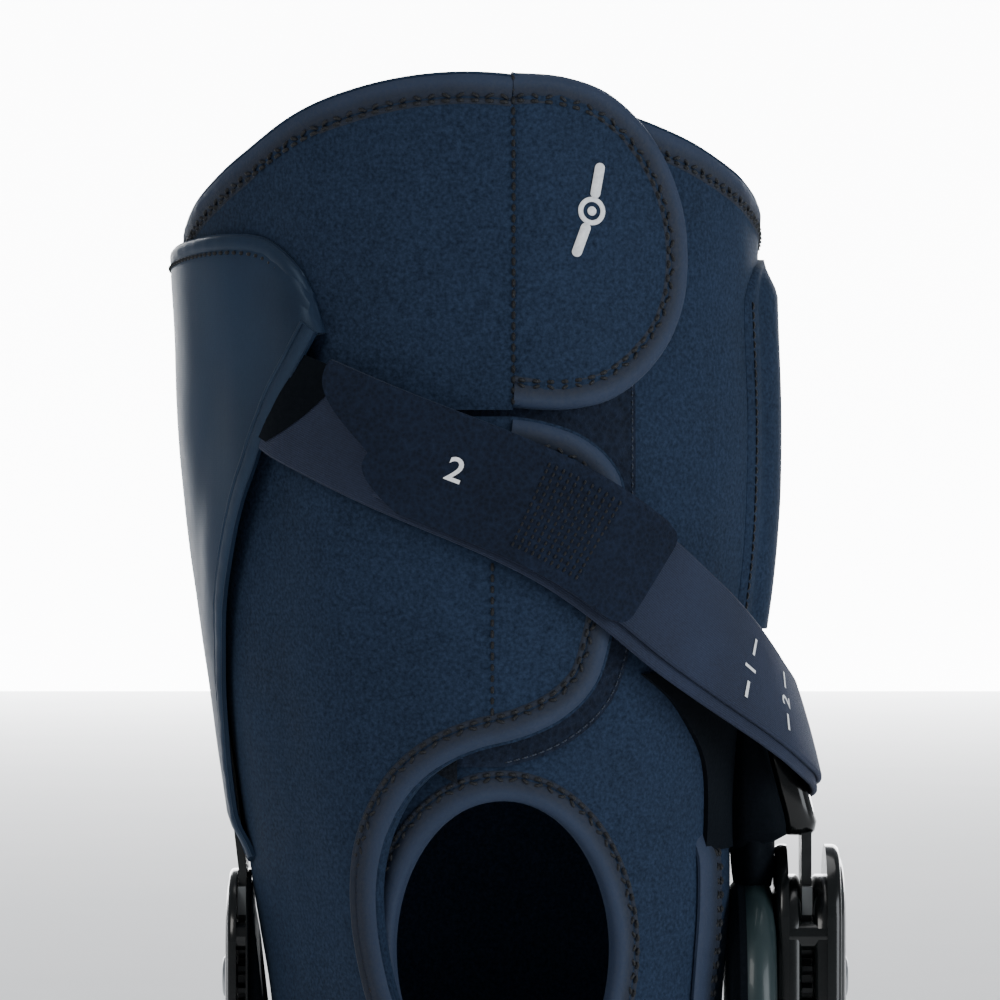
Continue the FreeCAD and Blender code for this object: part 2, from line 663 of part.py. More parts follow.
def ring(half, side):
    """Loop behind the medial bar that turns the strap, with its plate and two rivets."""
    z = strap_z(90.0, side)
    lean = math.degrees(bar_lean(side))
    bar_x = ring_x(z) - BAR
    pivot = V(bar_x, 0, z)
    length = STRAP_WIDTH + 9.0
    slot = STRAP_WIDTH + 2.0
    back_x = bar_x - RING_PLATE
    deep, tall = RING_BASE
    base = Part.makeBox(RING_PLATE, deep, tall, V(back_x, RING_FRONT, z - tall / 2))
    loop = Part.makeBox(RING_PLATE, RING_LOOP_DEPTH, length,
                        V(back_x, RING_LOOP_FROM, z - length / 2))
    loop = loop.cut(Part.makeBox(20.0, RING_SLOT, slot,
                                 V(bar_x - 10, RING_SLOT_FROM, z - slot / 2)))
    rivets = [cylinder(RIVET_R, back_x - 0.8, bar_x + BAR + 0.5, 0, z + s * RIVET_SPREAD)
              for s in (-1, 1)]
    group = Part.makeCompound(rivets)
    turned = FreeCAD.Rotation(V(0, 1, 0), -side * lean)
    place = FreeCAD.Placement(V(0, 0, 0), turned, pivot)
    anchor = base.fuse(loop).cut(group).removeSplitter()
    anchor.Placement = place
    group.Placement = place
    add(half + "_strap_ring", anchor)
    add(half + "_ring_rivets", group)
    add(half + "_medial_bar", NODES[half + "_medial_bar"].cut(group))


# ---- knee zone -----------------------------------------------------------------------------
def knee():
    reach = KNEE_ZONE - 1.0
    window = patella_block(EDGE_TAPE)
    rear_angle = 95.0
    add("knee_lateral_web",
        sheet(0, PANEL, -rear_angle, KNEE_SEAM, -reach, reach, 13).cut(window))
    add("knee_medial_web",
        sheet(0, PANEL, KNEE_SEAM, rear_angle, -reach, reach, 13).cut(window))
    tape = sheet(-BINDING_PROUD, PANEL + BINDING_PROUD, -50, 50, -reach, reach + 14, 13)
    add("patella_binding", tape.common(patella_block(EDGE_TAPE).cut(patella_block(0))))
    back = sheet(0, PANEL - 0.6, SEAM + 1, 359 - SEAM, -POPLITEAL_ZONE + 1,
                 POPLITEAL_ZONE - 1, 17)
    sides = [sheet(0, PANEL - 0.6, start, finish, -reach, reach, 13)
             for start, finish in ((rear_angle + 1, SEAM + 0.7), (359.3 - SEAM, 359 - rear_angle))]
    add("popliteal_panel", Part.makeCompound([back] + sides))


def condyle_pad():
    """Domed disc that rests on the inner side of the knee."""
    x1 = MEDIAL_BAR_X - MEDIAL_GAP - PAD_GAP
    disc = cylinder(CONDYLE_R, x1 - CONDYLE_PAD, x1, 0, CONDYLE_Z)
    disc = rounded_edges(disc, x1 - CONDYLE_PAD, CONDYLE_ROUND)
    disc = rounded_edges(disc, x1, CONDYLE_ROUND)
    add("medial_condyle_pad", disc)


for half_name, half_side in (("thigh", 1), ("calf", -1)):
    panels(half_name, half_side)
    front_layer(half_name, half_side)
    straps(half_name, half_side)
    hardware(half_name, half_side)
    ring(half_name, half_side)
knee()
condyle_pad()
hinge("medial", 1, MEDIAL_BAR_X, BAR, MEDIAL_COVER_HALF, MEDIAL_GAP, MEDIAL_COVERS)
hinge("lateral", -1, LATERAL_BAR_X, LATERAL_BAR, LATERAL_COVER_HALF, SIDE_PLAY,
      LATERAL_COVERS)
print("bars at x %.2f and %.2f" % (MEDIAL_BAR_X, LATERAL_BAR_X))

os.makedirs("parts", exist_ok=True)
for node, shape in NODES.items():
    shape.exportStep("parts/" + node + ".step")
    box = shape.BoundBox
    print("%-24s %2d %9.0f mm3 valid %s  x %.1f..%.1f  y %.1f..%.1f  z %.1f..%.1f" % (
        node, len(shape.Solids), shape.Volume, shape.isValid(), box.XMin, box.XMax,
        box.YMin, box.YMax, box.ZMin, box.ZMax))
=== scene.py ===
"""Hinged wraparound knee brace: fabric, straps, edge tapes, stitching and hinge covers.

Lengths are millimetres until spot() turns them into the frame's metres. A place on the
sleeve is an angle from the front (towards +X), a height, and a layer height above the
inside of the sleeve, as in the CAD model.
"""
import json
import math
import random

import bmesh
import bpy
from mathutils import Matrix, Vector, noise


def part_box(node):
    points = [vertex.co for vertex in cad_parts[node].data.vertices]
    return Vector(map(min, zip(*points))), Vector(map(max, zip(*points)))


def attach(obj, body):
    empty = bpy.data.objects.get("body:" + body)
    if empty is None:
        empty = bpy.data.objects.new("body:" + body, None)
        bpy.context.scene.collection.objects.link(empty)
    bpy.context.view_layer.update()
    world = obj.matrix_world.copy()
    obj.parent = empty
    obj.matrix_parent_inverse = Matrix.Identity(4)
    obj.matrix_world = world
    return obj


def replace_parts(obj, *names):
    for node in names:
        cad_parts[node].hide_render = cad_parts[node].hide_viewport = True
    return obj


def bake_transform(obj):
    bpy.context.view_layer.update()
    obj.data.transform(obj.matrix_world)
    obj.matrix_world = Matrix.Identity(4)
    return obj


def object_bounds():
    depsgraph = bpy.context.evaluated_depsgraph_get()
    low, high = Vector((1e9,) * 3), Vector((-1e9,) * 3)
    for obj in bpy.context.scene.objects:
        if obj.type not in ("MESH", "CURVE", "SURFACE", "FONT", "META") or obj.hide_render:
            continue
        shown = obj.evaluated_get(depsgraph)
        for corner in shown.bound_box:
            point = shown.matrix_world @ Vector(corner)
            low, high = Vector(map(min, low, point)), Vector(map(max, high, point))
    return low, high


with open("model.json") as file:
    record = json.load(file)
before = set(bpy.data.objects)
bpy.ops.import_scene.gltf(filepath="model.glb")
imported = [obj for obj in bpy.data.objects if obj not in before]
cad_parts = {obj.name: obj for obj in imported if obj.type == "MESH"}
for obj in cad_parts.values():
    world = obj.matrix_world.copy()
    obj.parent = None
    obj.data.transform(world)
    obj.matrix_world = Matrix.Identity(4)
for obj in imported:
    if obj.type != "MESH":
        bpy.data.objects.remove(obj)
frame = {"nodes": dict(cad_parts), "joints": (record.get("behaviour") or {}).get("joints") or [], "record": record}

CAD_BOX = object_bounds()
MM = 0.001
random.seed(7)

# ---- sizes that the CAD model also has ----
THIGH_LENGTH = 233.0
CALF_LENGTH = 183.0
DESIGN_LENGTH = 233.0
KNEE_ZONE = 60.0
KNEE_HALF_WIDTH = 52.0
THIGH_HALF_WIDTH = 67.5
CALF_HALF_WIDTH = 55.0
KNEE_HALF_DEPTH = 58.0
THIGH_HALF_DEPTH = 68.0
CALF_HALF_DEPTH = 58.0
PANEL = 4.0
FRONT_LAYER = 9.0           # outer face of the overlapping front layer
FRONT_THICK = 3.3
TAPE_WIDTH = 8.0
TAPE_PROUD = 0.45
STRAP = 1.6
STRAP_GAP = 0.3
STRAP_WIDTH = 25.0
TAB = 2.0
TAB_WIDTH = 28.0
BAR = 2.5
MEDIAL_BAR_X = 77.5
MEDIAL_STRAIGHT = 50.0
MEDIAL_MEETS = 96.0
POCKET_LAYER = PANEL + 0.6
HOOK_TOP = FRONT_LAYER - FRONT_THICK - 0.05
HOOK_BASE = PANEL + 1.05
POCKET_LOW, POCKET_HIGH = 98.0, 190.0
POCKET_HALF_ANGLE = 21.0
POCKET_HUMP = 3.3
POCKET_BORDER = 18.6        # angle from the pocket's middle to its stitches
BOOT_LOW, BOOT_HIGH = 41.5, 88.0
BOOT_HALF_WIDTH = 15.0
BOOT_CLEAR = 3.4            # between boot and bar
CAP_LOW, CAP_HIGH = 46.6, 68.5
CAP_INWARD = 1.9            # the cap sits this far towards the leg
NECK_X = 65.6               # middle of the soft gusset between boot and pad
BAND_ANGLE = 56.5           # stitched band down the medial edge at the knee
BAND_WIDTH = 13.0
CORE_DEPTH = 3.2            # solid core behind a medial hinge cover
CORE_HALF_WIDTH = 17.0
RIVET_RADIUS, RIVET_RISE = 5.2, 1.1
STITCH = 3.4                # pitch of the edge stitching

STRAP_LINE = [(-46, 161), (-18.4, 144.5), (14.5, 125), (43, 100), (72, 78.5), (90, 71.5),
              (104, 69)]    # angle round the leg, height of the strap's middle
STRAP_START = -46.0
STRAP_RISE = 12.0
STRAP_LEAVES = 35.0
STRAP_END = 100.0
STRAP_OVER_FLAPS = 10.6
STRAP_OVER_BAR = 2.4
TAB_START = -27.0
TAB_NOTCH = -18.4           # angle of the notch in the tab's lobed end
TAB_FOLD = 3.0
TAB_FINISH = 31.0

SEAM = 125.0                # side panels meet the rear panel
PATELLA_X = 3.5
PATELLA_Z = 20.5
PATELLA_HALF_WIDTH = 28.5
PATELLA_HALF_HEIGHT = 37.0
FLAP_LINE_X = 5.4

# ---- outlines: distance from the mid line, height above the knee ----
FLAP_EDGE = [(5.4, 232.0), (17, 231.3), (28, 227.5), (38, 218), (44.5, 205), (47, 190),
             (45.5, 175), (40, 163.5), (30, 154.5), (18, 151.3), (5.4, 151.8)]
TONGUE_EDGE = [(5.4, 149.9), (13, 148.6), (21.6, 145.4), (28.8, 139.2), (31.9, 131), (31.4, 114),
               (28, 95), (24.6, 85), (17.5, 77.5), (8, 72.8), (-2.5, 70), (-10, 66.6),
               (-16, 62)]
KNEE_EDGE = {1: [(-20.5, 56), (-24, 48), (-25.8, 39), (-25.8, 29), (-24.2, 18), (-21.5, 8), (-18, 0)],
             -1: [(-20.5, 56), (-23.5, 48), (-25, 39), (-24.6, 29), (-23, 18), (-20.6, 8), (-18, 0)]}
CALF_FLAP_FROM = 156.5
COVER_BACK = [(-127, 183), (-108, 188.5), (-88, 192.5)]     # here the first number is an angle
COVER_TOP = [(-69, 194.6), (-58, 194), (-50.5, 190.6), (-44.3, 185), (-40.7, 178), (-38.4, 170)]
COVER_FREE = [(-38.4, 170), (-43, 162), (-48, 154), (-52.6, 144), (-54.8, 138), (-58, 130),
              (-61, 120), (-63.8, 105.5), (-65, 93), (-65.2, 80.7), (-64.4, 66), (-62.5, 51),
              (-60.5, 42)]
LOOP_EDGE = [(36.4, 205), (36.4, 118), (35.5, 98), (32.5, 86), (28, 78.5), (21, 72.5), (13, 68.5),
             (4, 66)]


# ---- the sleeve ----
def stations():
    thigh = THIGH_HALF_WIDTH
    depth = THIGH_HALF_DEPTH
    return [
        (-CALF_LENGTH - 20, CALF_HALF_WIDTH - 6.5, CALF_HALF_DEPTH - 5.5, 0.0, 3.0),
        (-CALF_LENGTH, CALF_HALF_WIDTH - 4.0, CALF_HALF_DEPTH - 3.5, 0.0, 4.0),
        (-0.68 * CALF_LENGTH, CALF_HALF_WIDTH, CALF_HALF_DEPTH, 0.4, 6.5),
        (-KNEE_ZONE, 0.5 * (KNEE_HALF_WIDTH + CALF_HALF_WIDTH) - 1.0,
         0.5 * (KNEE_HALF_DEPTH + CALF_HALF_DEPTH) - 1.0, 1.2, 3.0),
        (0.0, KNEE_HALF_WIDTH, KNEE_HALF_DEPTH, 1.8, 0.5),
        (0.5 * KNEE_ZONE, 0.82 * KNEE_HALF_WIDTH + 0.18 * thigh,
         0.85 * KNEE_HALF_DEPTH + 0.15 * depth, 0.8, 0.0),
        (KNEE_ZONE, 0.65 * KNEE_HALF_WIDTH + 0.35 * thigh,
         0.62 * KNEE_HALF_DEPTH + 0.38 * depth, -1.2, 0.0),
        (0.52 * THIGH_LENGTH, 0.16 * KNEE_HALF_WIDTH + 0.84 * thigh,
         0.15 * KNEE_HALF_DEPTH + 0.85 * depth, -2.2, 0.0),
        (0.82 * THIGH_LENGTH, thigh, depth, -4.5, 0.0),
        (THIGH_LENGTH, thigh + 1.0, depth + 1.0, -5.5, 0.0),
        (THIGH_LENGTH + 20, thigh + 1.5, depth + 1.5, -6.0, 0.0),
    ]


STATIONS = stations()


def along_line(line, at):
    """Smooth values at a position; each point of the line starts with its position."""
    last = len(line) - 1
    k = 0
    while k < last - 1 and at > line[k + 1][0]:
        k += 1
    before, here = line[max(k - 1, 0)], line[k]
    there, after = line[k + 1], line[min(k + 2, last)]
    run = there[0] - here[0]
    t = (at - here[0]) / run
    values = []
    for i in range(1, len(here)):
        slope_here = (there[i] - before[i]) / (there[0] - before[0]) * run
        slope_there = (after[i] - here[i]) / (after[0] - here[0]) * run
        values.append((2 * t**3 - 3 * t**2 + 1) * here[i] + (t**3 - 2 * t**2 + t) * slope_here
                      + (3 * t**2 - 2 * t**3) * there[i] + (t**3 - t**2) * slope_there)
    return values


def section(z):
    """Half width, half depth, centre x and centre y of the sleeve at a height."""
    return along_line(STATIONS, min(max(z, STATIONS[0][0]), STATIONS[-1][0]))


def ease(share):
    share = max(0.0, min(1.0, share))
    return share * share * (3 - 2 * share)


def mix(a, b, t):
    return a + (b - a) * t


def rigid_spot(angle, z, layer):
    half_width, half_depth, centre_x, centre_y = section(z)
    turn = math.radians(angle)
    return Vector((centre_x + (half_width + layer) * math.sin(turn),
                   centre_y - (half_depth + layer) * math.cos(turn), z)) * MM


def spot(angle, z, layer):
    """A place on the worn fabric, which is never quite even."""
    turn = math.radians(angle)
    slow = noise.noise(Vector((1.9 * math.sin(turn), 1.9 * math.cos(turn), z * 0.017)))
    quick = noise.noise(Vector((5.0 * math.sin(turn) + 9, 5.0 * math.cos(turn), z * 0.045)))
    return rigid_spot(angle, z, layer + 0.9 * slow + 0.3 * quick)


def angle_at(x, z):
    """Angle at which the front of the sleeve has this x, whatever the layer."""
    half_width, _, centre_x, _ = section(z)
    share = max(-0.999, min(0.999, (x - centre_x) / (half_width + 7.0)))
    return math.degrees(math.asin(share))


def lift(height, side):
    length = THIGH_LENGTH if side > 0 else CALF_LENGTH
    if height > KNEE_ZONE:
        share = (height - KNEE_ZONE) / (DESIGN_LENGTH - KNEE_ZONE)
        height = KNEE_ZONE + share * (length - KNEE_ZONE)
    return side * height


def smooth(points, steps=6):
    """Evenly curved line through a few points."""
    line = []
    for k in range(len(points) - 1):
        p0, p1 = points[max(k - 1, 0)], points[k]
        p2, p3 = points[k + 1], points[min(k + 2, len(points) - 1)]
        for step in range(steps):
            t = step / steps
            line.append(tuple(
                0.5 * (2 * b + (c - a) * t + (2 * a - 5 * b + 4 * c - d) * t**2
                       + (3 * b - a - 3 * c + d) * t**3)
                for a, b, c, d in zip(p0, p1, p2, p3)))
    line.append(tuple(points[-1]))
    return line


def on_front(line, side):
    """Outline in x and height turned into angle and real height."""
    return [(angle_at(x, lift(h, side)), lift(h, side)) for x, h in line]


def on_side(line, side):
    """Like on_front, but both halves take their angles from the thigh."""
    return [(angle_at(x, h), lift(h, side)) for x, h in line]


def height_on(line, angle):
    """Height of a line of (angle, z) points at an angle."""
    for (a0, z0), (a1, z1) in zip(line, line[1:]):
        if a0 <= angle <= a1:
            return mix(z0, z1, (angle - a0) / max(1e-6, a1 - a0))
    return line[0][1] if angle < line[0][0] else line[-1][1]


def level_at(level, angle, z):
    """A layer height is a number or level(angle, z)."""
    return level(angle, z) if callable(level) else level


def round_mm(z):
    """Millimetres along the sleeve for one degree."""
    half_width, half_depth, _, _ = section(z)
    return math.radians(0.5 * (half_width + half_depth) + 7.0)


def resample(line, pitch):
    """The same line in even steps, measured on the sleeve."""
    lengths = [0.0]
    for (a0, z0), (a1, z1) in zip(line, line[1:]):
        lengths.append(lengths[-1] + math.hypot((a1 - a0) * round_mm(z0), z1 - z0))
    count = max(2, round(lengths[-1] / pitch))
    even = []
    k = 0
    for step in range(count + 1):
        target = lengths[-1] * step / count
        while k < len(lengths) - 2 and lengths[k + 1] < target:
            k += 1
        span = max(1e-9, lengths[k + 1] - lengths[k])
        t = (target - lengths[k]) / span
        even.append((mix(line[k][0], line[k + 1][0], t), mix(line[k][1], line[k + 1][1], t)))
    return even


def shifted(line, distance, closed=False):
    """The line moved sideways over the sleeve, to the right of its direction."""
    moved = []
    last = len(line) - 1
    for k, (angle, z) in enumerate(line):
        ahead = line[(k + 1) % len(line)] if closed else line[min(k + 1, last)]
        behind = line[k - 1] if closed else line[max(k - 1, 0)]
        run_a = (ahead[0] - behind[0]) * round_mm(z)
        run_z = ahead[1] - behind[1]
        run = max(1e-9, math.hypot(run_a, run_z))
        moved.append((angle + run_z / run * distance / round_mm(z), z - run_a / run * distance))
    return moved


# ---- mesh helpers ----
def make(name, verts, faces, material, uvs=None, sharp=42.0):
    mesh = bpy.data.meshes.new(name)
    mesh.from_pydata([tuple(v) for v in verts], [], faces)
    mesh.validate()
    if uvs:
        layer = mesh.uv_layers.new(name="UVMap")
        for loop in mesh.loops:
            layer.data[loop.index].uv = uvs[loop.vertex_index]
    bm = bmesh.new()
    bm.from_mesh(mesh)
    bmesh.ops.recalc_face_normals(bm, faces=bm.faces)
    limit = math.radians(sharp)
    for edge in bm.edges:
        edge.smooth = not (len(edge.link_faces) == 2 and edge.calc_face_angle(0) > limit)
    for face in bm.faces:
        face.smooth = True
    bm.to_mesh(mesh)
    bm.free()
    mesh.materials.append(material)
    obj = bpy.data.objects.new(name, mesh)
    bpy.context.scene.collection.objects.link(obj)
    return obj


def join(name, parts):
    """One object from several meshes, keeping their materials."""
    bpy.ops.object.select_all(action="DESELECT")
    for part in parts:
        part.select_set(True)
    bpy.context.view_layer.objects.active = parts[0]
    bpy.ops.object.join()
    whole = bpy.context.view_layer.objects.active
    whole.name = name
    whole.data.name = name
    return whole


def slab(name, rows, material, keep=None):
    """Closed sheet from rows of (angle, z, outer layer, inner layer); keep(angle, z) may cut it."""
    high = len(rows)
    wide = len(rows[0])
    verts = []
    uvs = []
    for face in (2, 3):
        for row in rows:
            for cell in row:
                verts.append(spot(cell[0], cell[1], cell[face]))
                uvs.append((cell[0] * round_mm(cell[1]) * 0.01, cell[1] * 0.01))

    def at(side, i, j):
        return side * high * wide + i * wide + j

    shown = {}
    for i in range(high - 1):
        for j in range(wide - 1):
            a, b = rows[i][j], rows[i + 1][j + 1]
            middle = (0.5 * (a[0] + b[0]), 0.5 * (a[1] + b[1]))
            shown[i, j] = keep is None or keep(*middle)
    faces = []
    for (i, j), here in shown.items():
        if not here:
            continue
        ring = [(i, j), (i, j + 1), (i + 1, j + 1), (i + 1, j)]
        faces.append([at(0, *c) for c in ring])
        faces.append([at(1, *c) for c in reversed(ring)])
        for side, (di, dj) in enumerate(((-1, 0), (0, 1), (1, 0), (0, -1))):
            if not shown.get((i + di, j + dj), False):
                p, q = ring[side], ring[(side + 1) % 4]
                faces.append([at(0, *p), at(1, *p), at(1, *q), at(0, *q)])
    piece = make(name, verts, faces, material, uvs)
    bm = bmesh.new()
    bm.from_mesh(piece.data)
    loose = [v for v in bm.verts if not v.link_faces]
    bmesh.ops.delete(bm, geom=loose, context="VERTS")
    bm.to_mesh(piece.data)
    bm.free()
    return piece


def loft(name, sections, material, closed=False, uvs=None, sharp=60.0):
    """Skin over equal loops; the ends are capped unless the loops close on themselves."""
    count = len(sections[0])
    verts = [p for loop in sections for p in loop]
    flat = [u for loop in uvs for u in loop] if uvs else None
    faces = []
    spans = len(sections) if closed else len(sections) - 1
    for i in range(spans):
        a = i * count
        b = ((i + 1) % len(sections)) * count
        for j in range(count):
            k = (j + 1) % count
            faces.append([a + j, a + k, b + k, b + j])
    if not closed:
        faces.append(list(range(count))[::-1])
        faces.append([(len(sections) - 1) * count + j for j in range(count)])
    return make(name, verts, faces, material, flat, sharp)


def oval(middle, half_x, half_y, z, count, power_x=1.0, power_y=1.0):
    """Level loop round an upright piece; powers below one square it off."""
    loop = []
    for k in range(count):
        turn = 2 * math.pi * k / count
        c, s = math.cos(turn), math.sin(turn)
        loop.append(Vector((middle + half_x * math.copysign(abs(c)**power_x, c),
                            half_y * math.copysign(abs(s)**power_y, s), z)) * MM)
    return loop


def disc(x, y, z, radius, half_count):
    """Loop that faces along x, in metres."""
    return [Vector((x, y + radius * math.cos(k * math.pi / half_count),
                    z + radius * math.sin(k * math.pi / half_count)))
            for k in range(2 * half_count)]


def closed_grid(name, verts, wide, high, material, uvs=None):
    """Closed plate from an upper and a lower grid of points, each wide by high."""
    faces = []
    size = wide * high
    for j in range(wide - 1):
        for i in range(high - 1):
            a = j * high + i
            ring = [a, a + 1, a + high + 1, a + high]
            faces.append(ring)
            faces.append([size + k for k in reversed(ring)])
    border = [j * high for j in range(wide)]
    border += [(wide - 1) * high + i for i in range(1, high)]
    border += [j * high + high - 1 for j in range(wide - 2, -1, -1)]
    border += [i for i in range(high - 2, 0, -1)]
    for k, a in enumerate(border):
        b = border[(k + 1) % len(border)]
        faces.append([a, b, size + b, size + a])
    return make(name, verts, faces, material, uvs, 50.0)


# ---- materials ----
DARKER = 0.78               # the cloth is lit from all sides, so it is mixed darker


def colour(r, g, b):
    """Linear colour from 0 to 255 screen values."""
    def one(v):
        v /= 255
        return v / 12.92 if v <= 0.04045 else ((v + 0.055) / 1.055) ** 2.4
    return (one(r) * DARKER, one(g) * DARKER, one(b) * DARKER, 1.0)


class Shader:
    """A short way to write node materials."""

    def __init__(self, name):
        self.material = bpy.data.materials.new(name)
        self.material.use_nodes = True
        self.tree = self.material.node_tree
        self.tree.nodes.clear()
        self.out = self.tree.nodes.new("ShaderNodeOutputMaterial")
        self.shader = self.node("ShaderNodeBsdfPrincipled")
        self.link(self.shader.outputs[0], self.out.inputs[0])

    def node(self, kind, inputs=(), **settings):
        made = self.tree.nodes.new(kind)
        for key, value in settings.items():
            setattr(made, key, value)
        for key, value in dict(inputs).items():
            if isinstance(value, bpy.types.NodeSocket):
                self.link(value, made.inputs[key])
            else:
                made.inputs[key].default_value = value
        return made

    def link(self, source, target):
        self.tree.links.new(source, target)

    def set(self, **values):
        for key, value in values.items():
            socket = self.shader.inputs[key.replace("_", " ")]
            if isinstance(value, bpy.types.NodeSocket):
                self.link(value, socket)
            else:
                socket.default_value = value

    def place(self, scale=(1, 1, 1), uv=False, rotation=(0, 0, 0)):
        source = self.node("ShaderNodeTexCoord").outputs["UV" if uv else "Object"]
        return self.node("ShaderNodeMapping", {"Vector": source, "Scale": scale,
                                               "Rotation": rotation}).outputs[0]

    def noise(self, vector, scale, detail=3.0, rough=0.55, distort=0.0):
        return self.node("ShaderNodeTexNoise", {
            "Vector": vector, "Scale": scale, "Detail": detail, "Roughness": rough,
            "Distortion": distort}).outputs[0]

    def wave(self, vector, direction, **inputs):
        sockets = {key.replace("_", " "): value for key, value in inputs.items()}
        return self.node("ShaderNodeTexWave", {"Vector": vector, **sockets},
                         bands_direction=direction).outputs[1]

    def ramp(self, factor, stops):
        made = self.node("ShaderNodeValToRGB", {"Fac": factor})
        band = made.color_ramp
        while len(band.elements) < len(stops):
            band.elements.new(0.5)
        for element, (place, value) in zip(band.elements, stops):
            element.position = place
            element.color = value if isinstance(value, tuple) else (value, value, value, 1)
        return made.outputs[0]

    def maths(self, operation, a, b=0.0):
        return self.node("ShaderNodeMath", {0: a, 1: b}, operation=operation).outputs[0]

    def blend(self, factor, a, b):
        made = self.node("ShaderNodeMix", data_type="RGBA")
        for key, value in ((0, factor), (6, a), (7, b)):
            if isinstance(value, bpy.types.NodeSocket):
                self.link(value, made.inputs[key])
            else:
                made.inputs[key].default_value = value
        return made.outputs[2]

    def bump(self, height, strength, distance, under=None):
        inputs = {"Height": height, "Strength": strength, "Distance": distance}
        if under is not None:
            inputs["Normal"] = under
        return self.node("ShaderNodeBump", inputs).outputs[0]


def knit(name, base, light, grain=1100.0, bump=0.25, sheen=0.05, rough=0.72, slow=0.28):
    """Fine jersey over foam: small loops in rows, slow mottling and a soft sheen."""
    s = Shader(name)
    here = s.place()
    loops = s.noise(here, grain, 2.0, 0.6)
    rows = s.wave(here, "Z", Scale=grain * 0.22, Distortion=2.5, Detail=1.0, Detail_Scale=4.0)
    mottle = s.noise(here, 34.0, 4.0, 0.6)
    tone = s.maths("ADD", s.maths("MULTIPLY", loops, 0.75), s.maths("MULTIPLY", mottle, slow))
    middle = 0.375 + 0.5 * slow
    s.set(Base_Color=s.ramp(tone, [(middle - 0.2, base), (middle + 0.24, light)]),
          Roughness=s.ramp(mottle, [(0.3, rough - 0.08), (0.7, rough + 0.08)]),
          Sheen_Weight=sheen, Sheen_Roughness=0.45,
          Sheen_Tint=(0.45, 0.62, 0.85, 1.0), Specular_IOR_Level=0.12,
          Specular_Tint=(0.6, 0.78, 1.0, 1.0))
    height = s.maths("ADD", s.maths("MULTIPLY", loops, 0.7), s.maths("MULTIPLY", rows, 0.3))
    s.set(Normal=s.bump(height, bump, 0.0004))
    return s.material


def stretch_knit():
    """Shiny stretch cloth of the side cover, with a fine knit and soft pull folds."""
    s = Shader("stretch_cover")
    here = s.place()
    knit_rows = s.wave(here, "Z", Scale=700.0, Distortion=1.5, Detail=1.0)
    grain = s.noise(here, 1200.0, 2.0, 0.6)
    mottle = s.noise(here, 22.0, 3.0, 0.5)
    tone = s.maths("ADD", s.maths("MULTIPLY", mottle, 0.8), s.maths("MULTIPLY", grain, 0.2))
    s.set(Base_Color=s.ramp(tone, [(0.3, colour(22, 34, 52)), (0.8, colour(38, 56, 80))]),
          Roughness=s.ramp(mottle, [(0.3, 0.44), (0.75, 0.54)]), Sheen_Weight=0.05,
          Sheen_Roughness=0.35, Sheen_Tint=(0.55, 0.72, 0.9, 1.0), Specular_IOR_Level=0.36,
          Specular_Tint=(0.6, 0.78, 1.0, 1.0))
    folds = s.noise(s.place((1, 1, 0.16)), 60.0, 2.0, 0.5, 0.4)
    soft = s.bump(folds, 0.12, 0.0015)
    s.set(Normal=s.bump(s.maths("ADD", s.maths("MULTIPLY", knit_rows, 0.4), grain), 0.12,
                        0.0002, soft))
    return s.material


def tape_cloth():
    """Folded edge tape: cross ribs and a stitched groove, with a painted highlight along the rounded rim at the
    fold and painted shade across the stitched half.
    """
    s = Shader("edge_tape")
    uv = s.place(uv=True)
    split = s.node("ShaderNodeSeparateXYZ", {0: uv})
    ribs = s.wave(uv, "X", Scale=160.0, Distortion=0.6)
    grain = s.noise(s.place(), 1300.0, 2.0, 0.6)
    mottle = s.noise(s.place(), 60.0, 2.0)
    # painted light: the tape is coloured paler along the rounded fold at its free edge as a painted highlight, and
    # darker over the stitched groove as painted shade
    rim = s.ramp(split.outputs[1], [(0.0, 1.0), (0.30, 0.85), (0.52, 0.25), (0.9, 0.1)])
    tone = s.maths("ADD", s.maths("MULTIPLY", rim, 0.55),
                   s.maths("MULTIPLY", s.maths("ADD", grain, mottle), 0.24))
    s.set(Base_Color=s.ramp(tone, [(0.1, colour(9, 16, 28)), (0.8, colour(37, 52, 78))]),
          Roughness=s.ramp(grain, [(0.3, 0.62), (0.7, 0.8)]), Sheen_Weight=0.06,
          Sheen_Roughness=0.4, Sheen_Tint=(0.5, 0.65, 0.9, 1.0), Specular_IOR_Level=0.4)
    s.set(Normal=s.bump(ribs, 0.22, 0.0003, s.bump(grain, 0.3, 0.0003)))
    return s.material


def webbing():
    """Woven elastic: fine ribs along, weft across."""
    s = Shader("webbing")
    uv = s.place(uv=True)
    weft = s.wave(uv, "X", Scale=130.0, Distortion=0.8)
    warp = s.wave(uv, "Y", Scale=62.0, Distortion=0.5)
    grain = s.noise(s.place(), 1500.0, 2.0, 0.6)
    mottle = s.noise(s.place(), 45.0, 3.0)
    weave = s.maths("MULTIPLY", weft, warp)
    tone = s.maths("ADD", s.maths("MULTIPLY", weave, 0.4),
                   s.maths("MULTIPLY", s.maths("ADD", grain, mottle), 0.4))
    s.set(Base_Color=s.ramp(tone, [(0.22, colour(17, 24, 41)), (0.8, colour(44, 56, 84))]),
          Roughness=0.78, Sheen_Weight=0.08, Sheen_Roughness=0.5,
          Sheen_Tint=(0.6, 0.65, 0.85, 1.0), Specular_IOR_Level=0.3)
    s.set(Normal=s.bump(weave, 0.35, 0.0004, s.bump(grain, 0.3, 0.0003)))
    return s.material


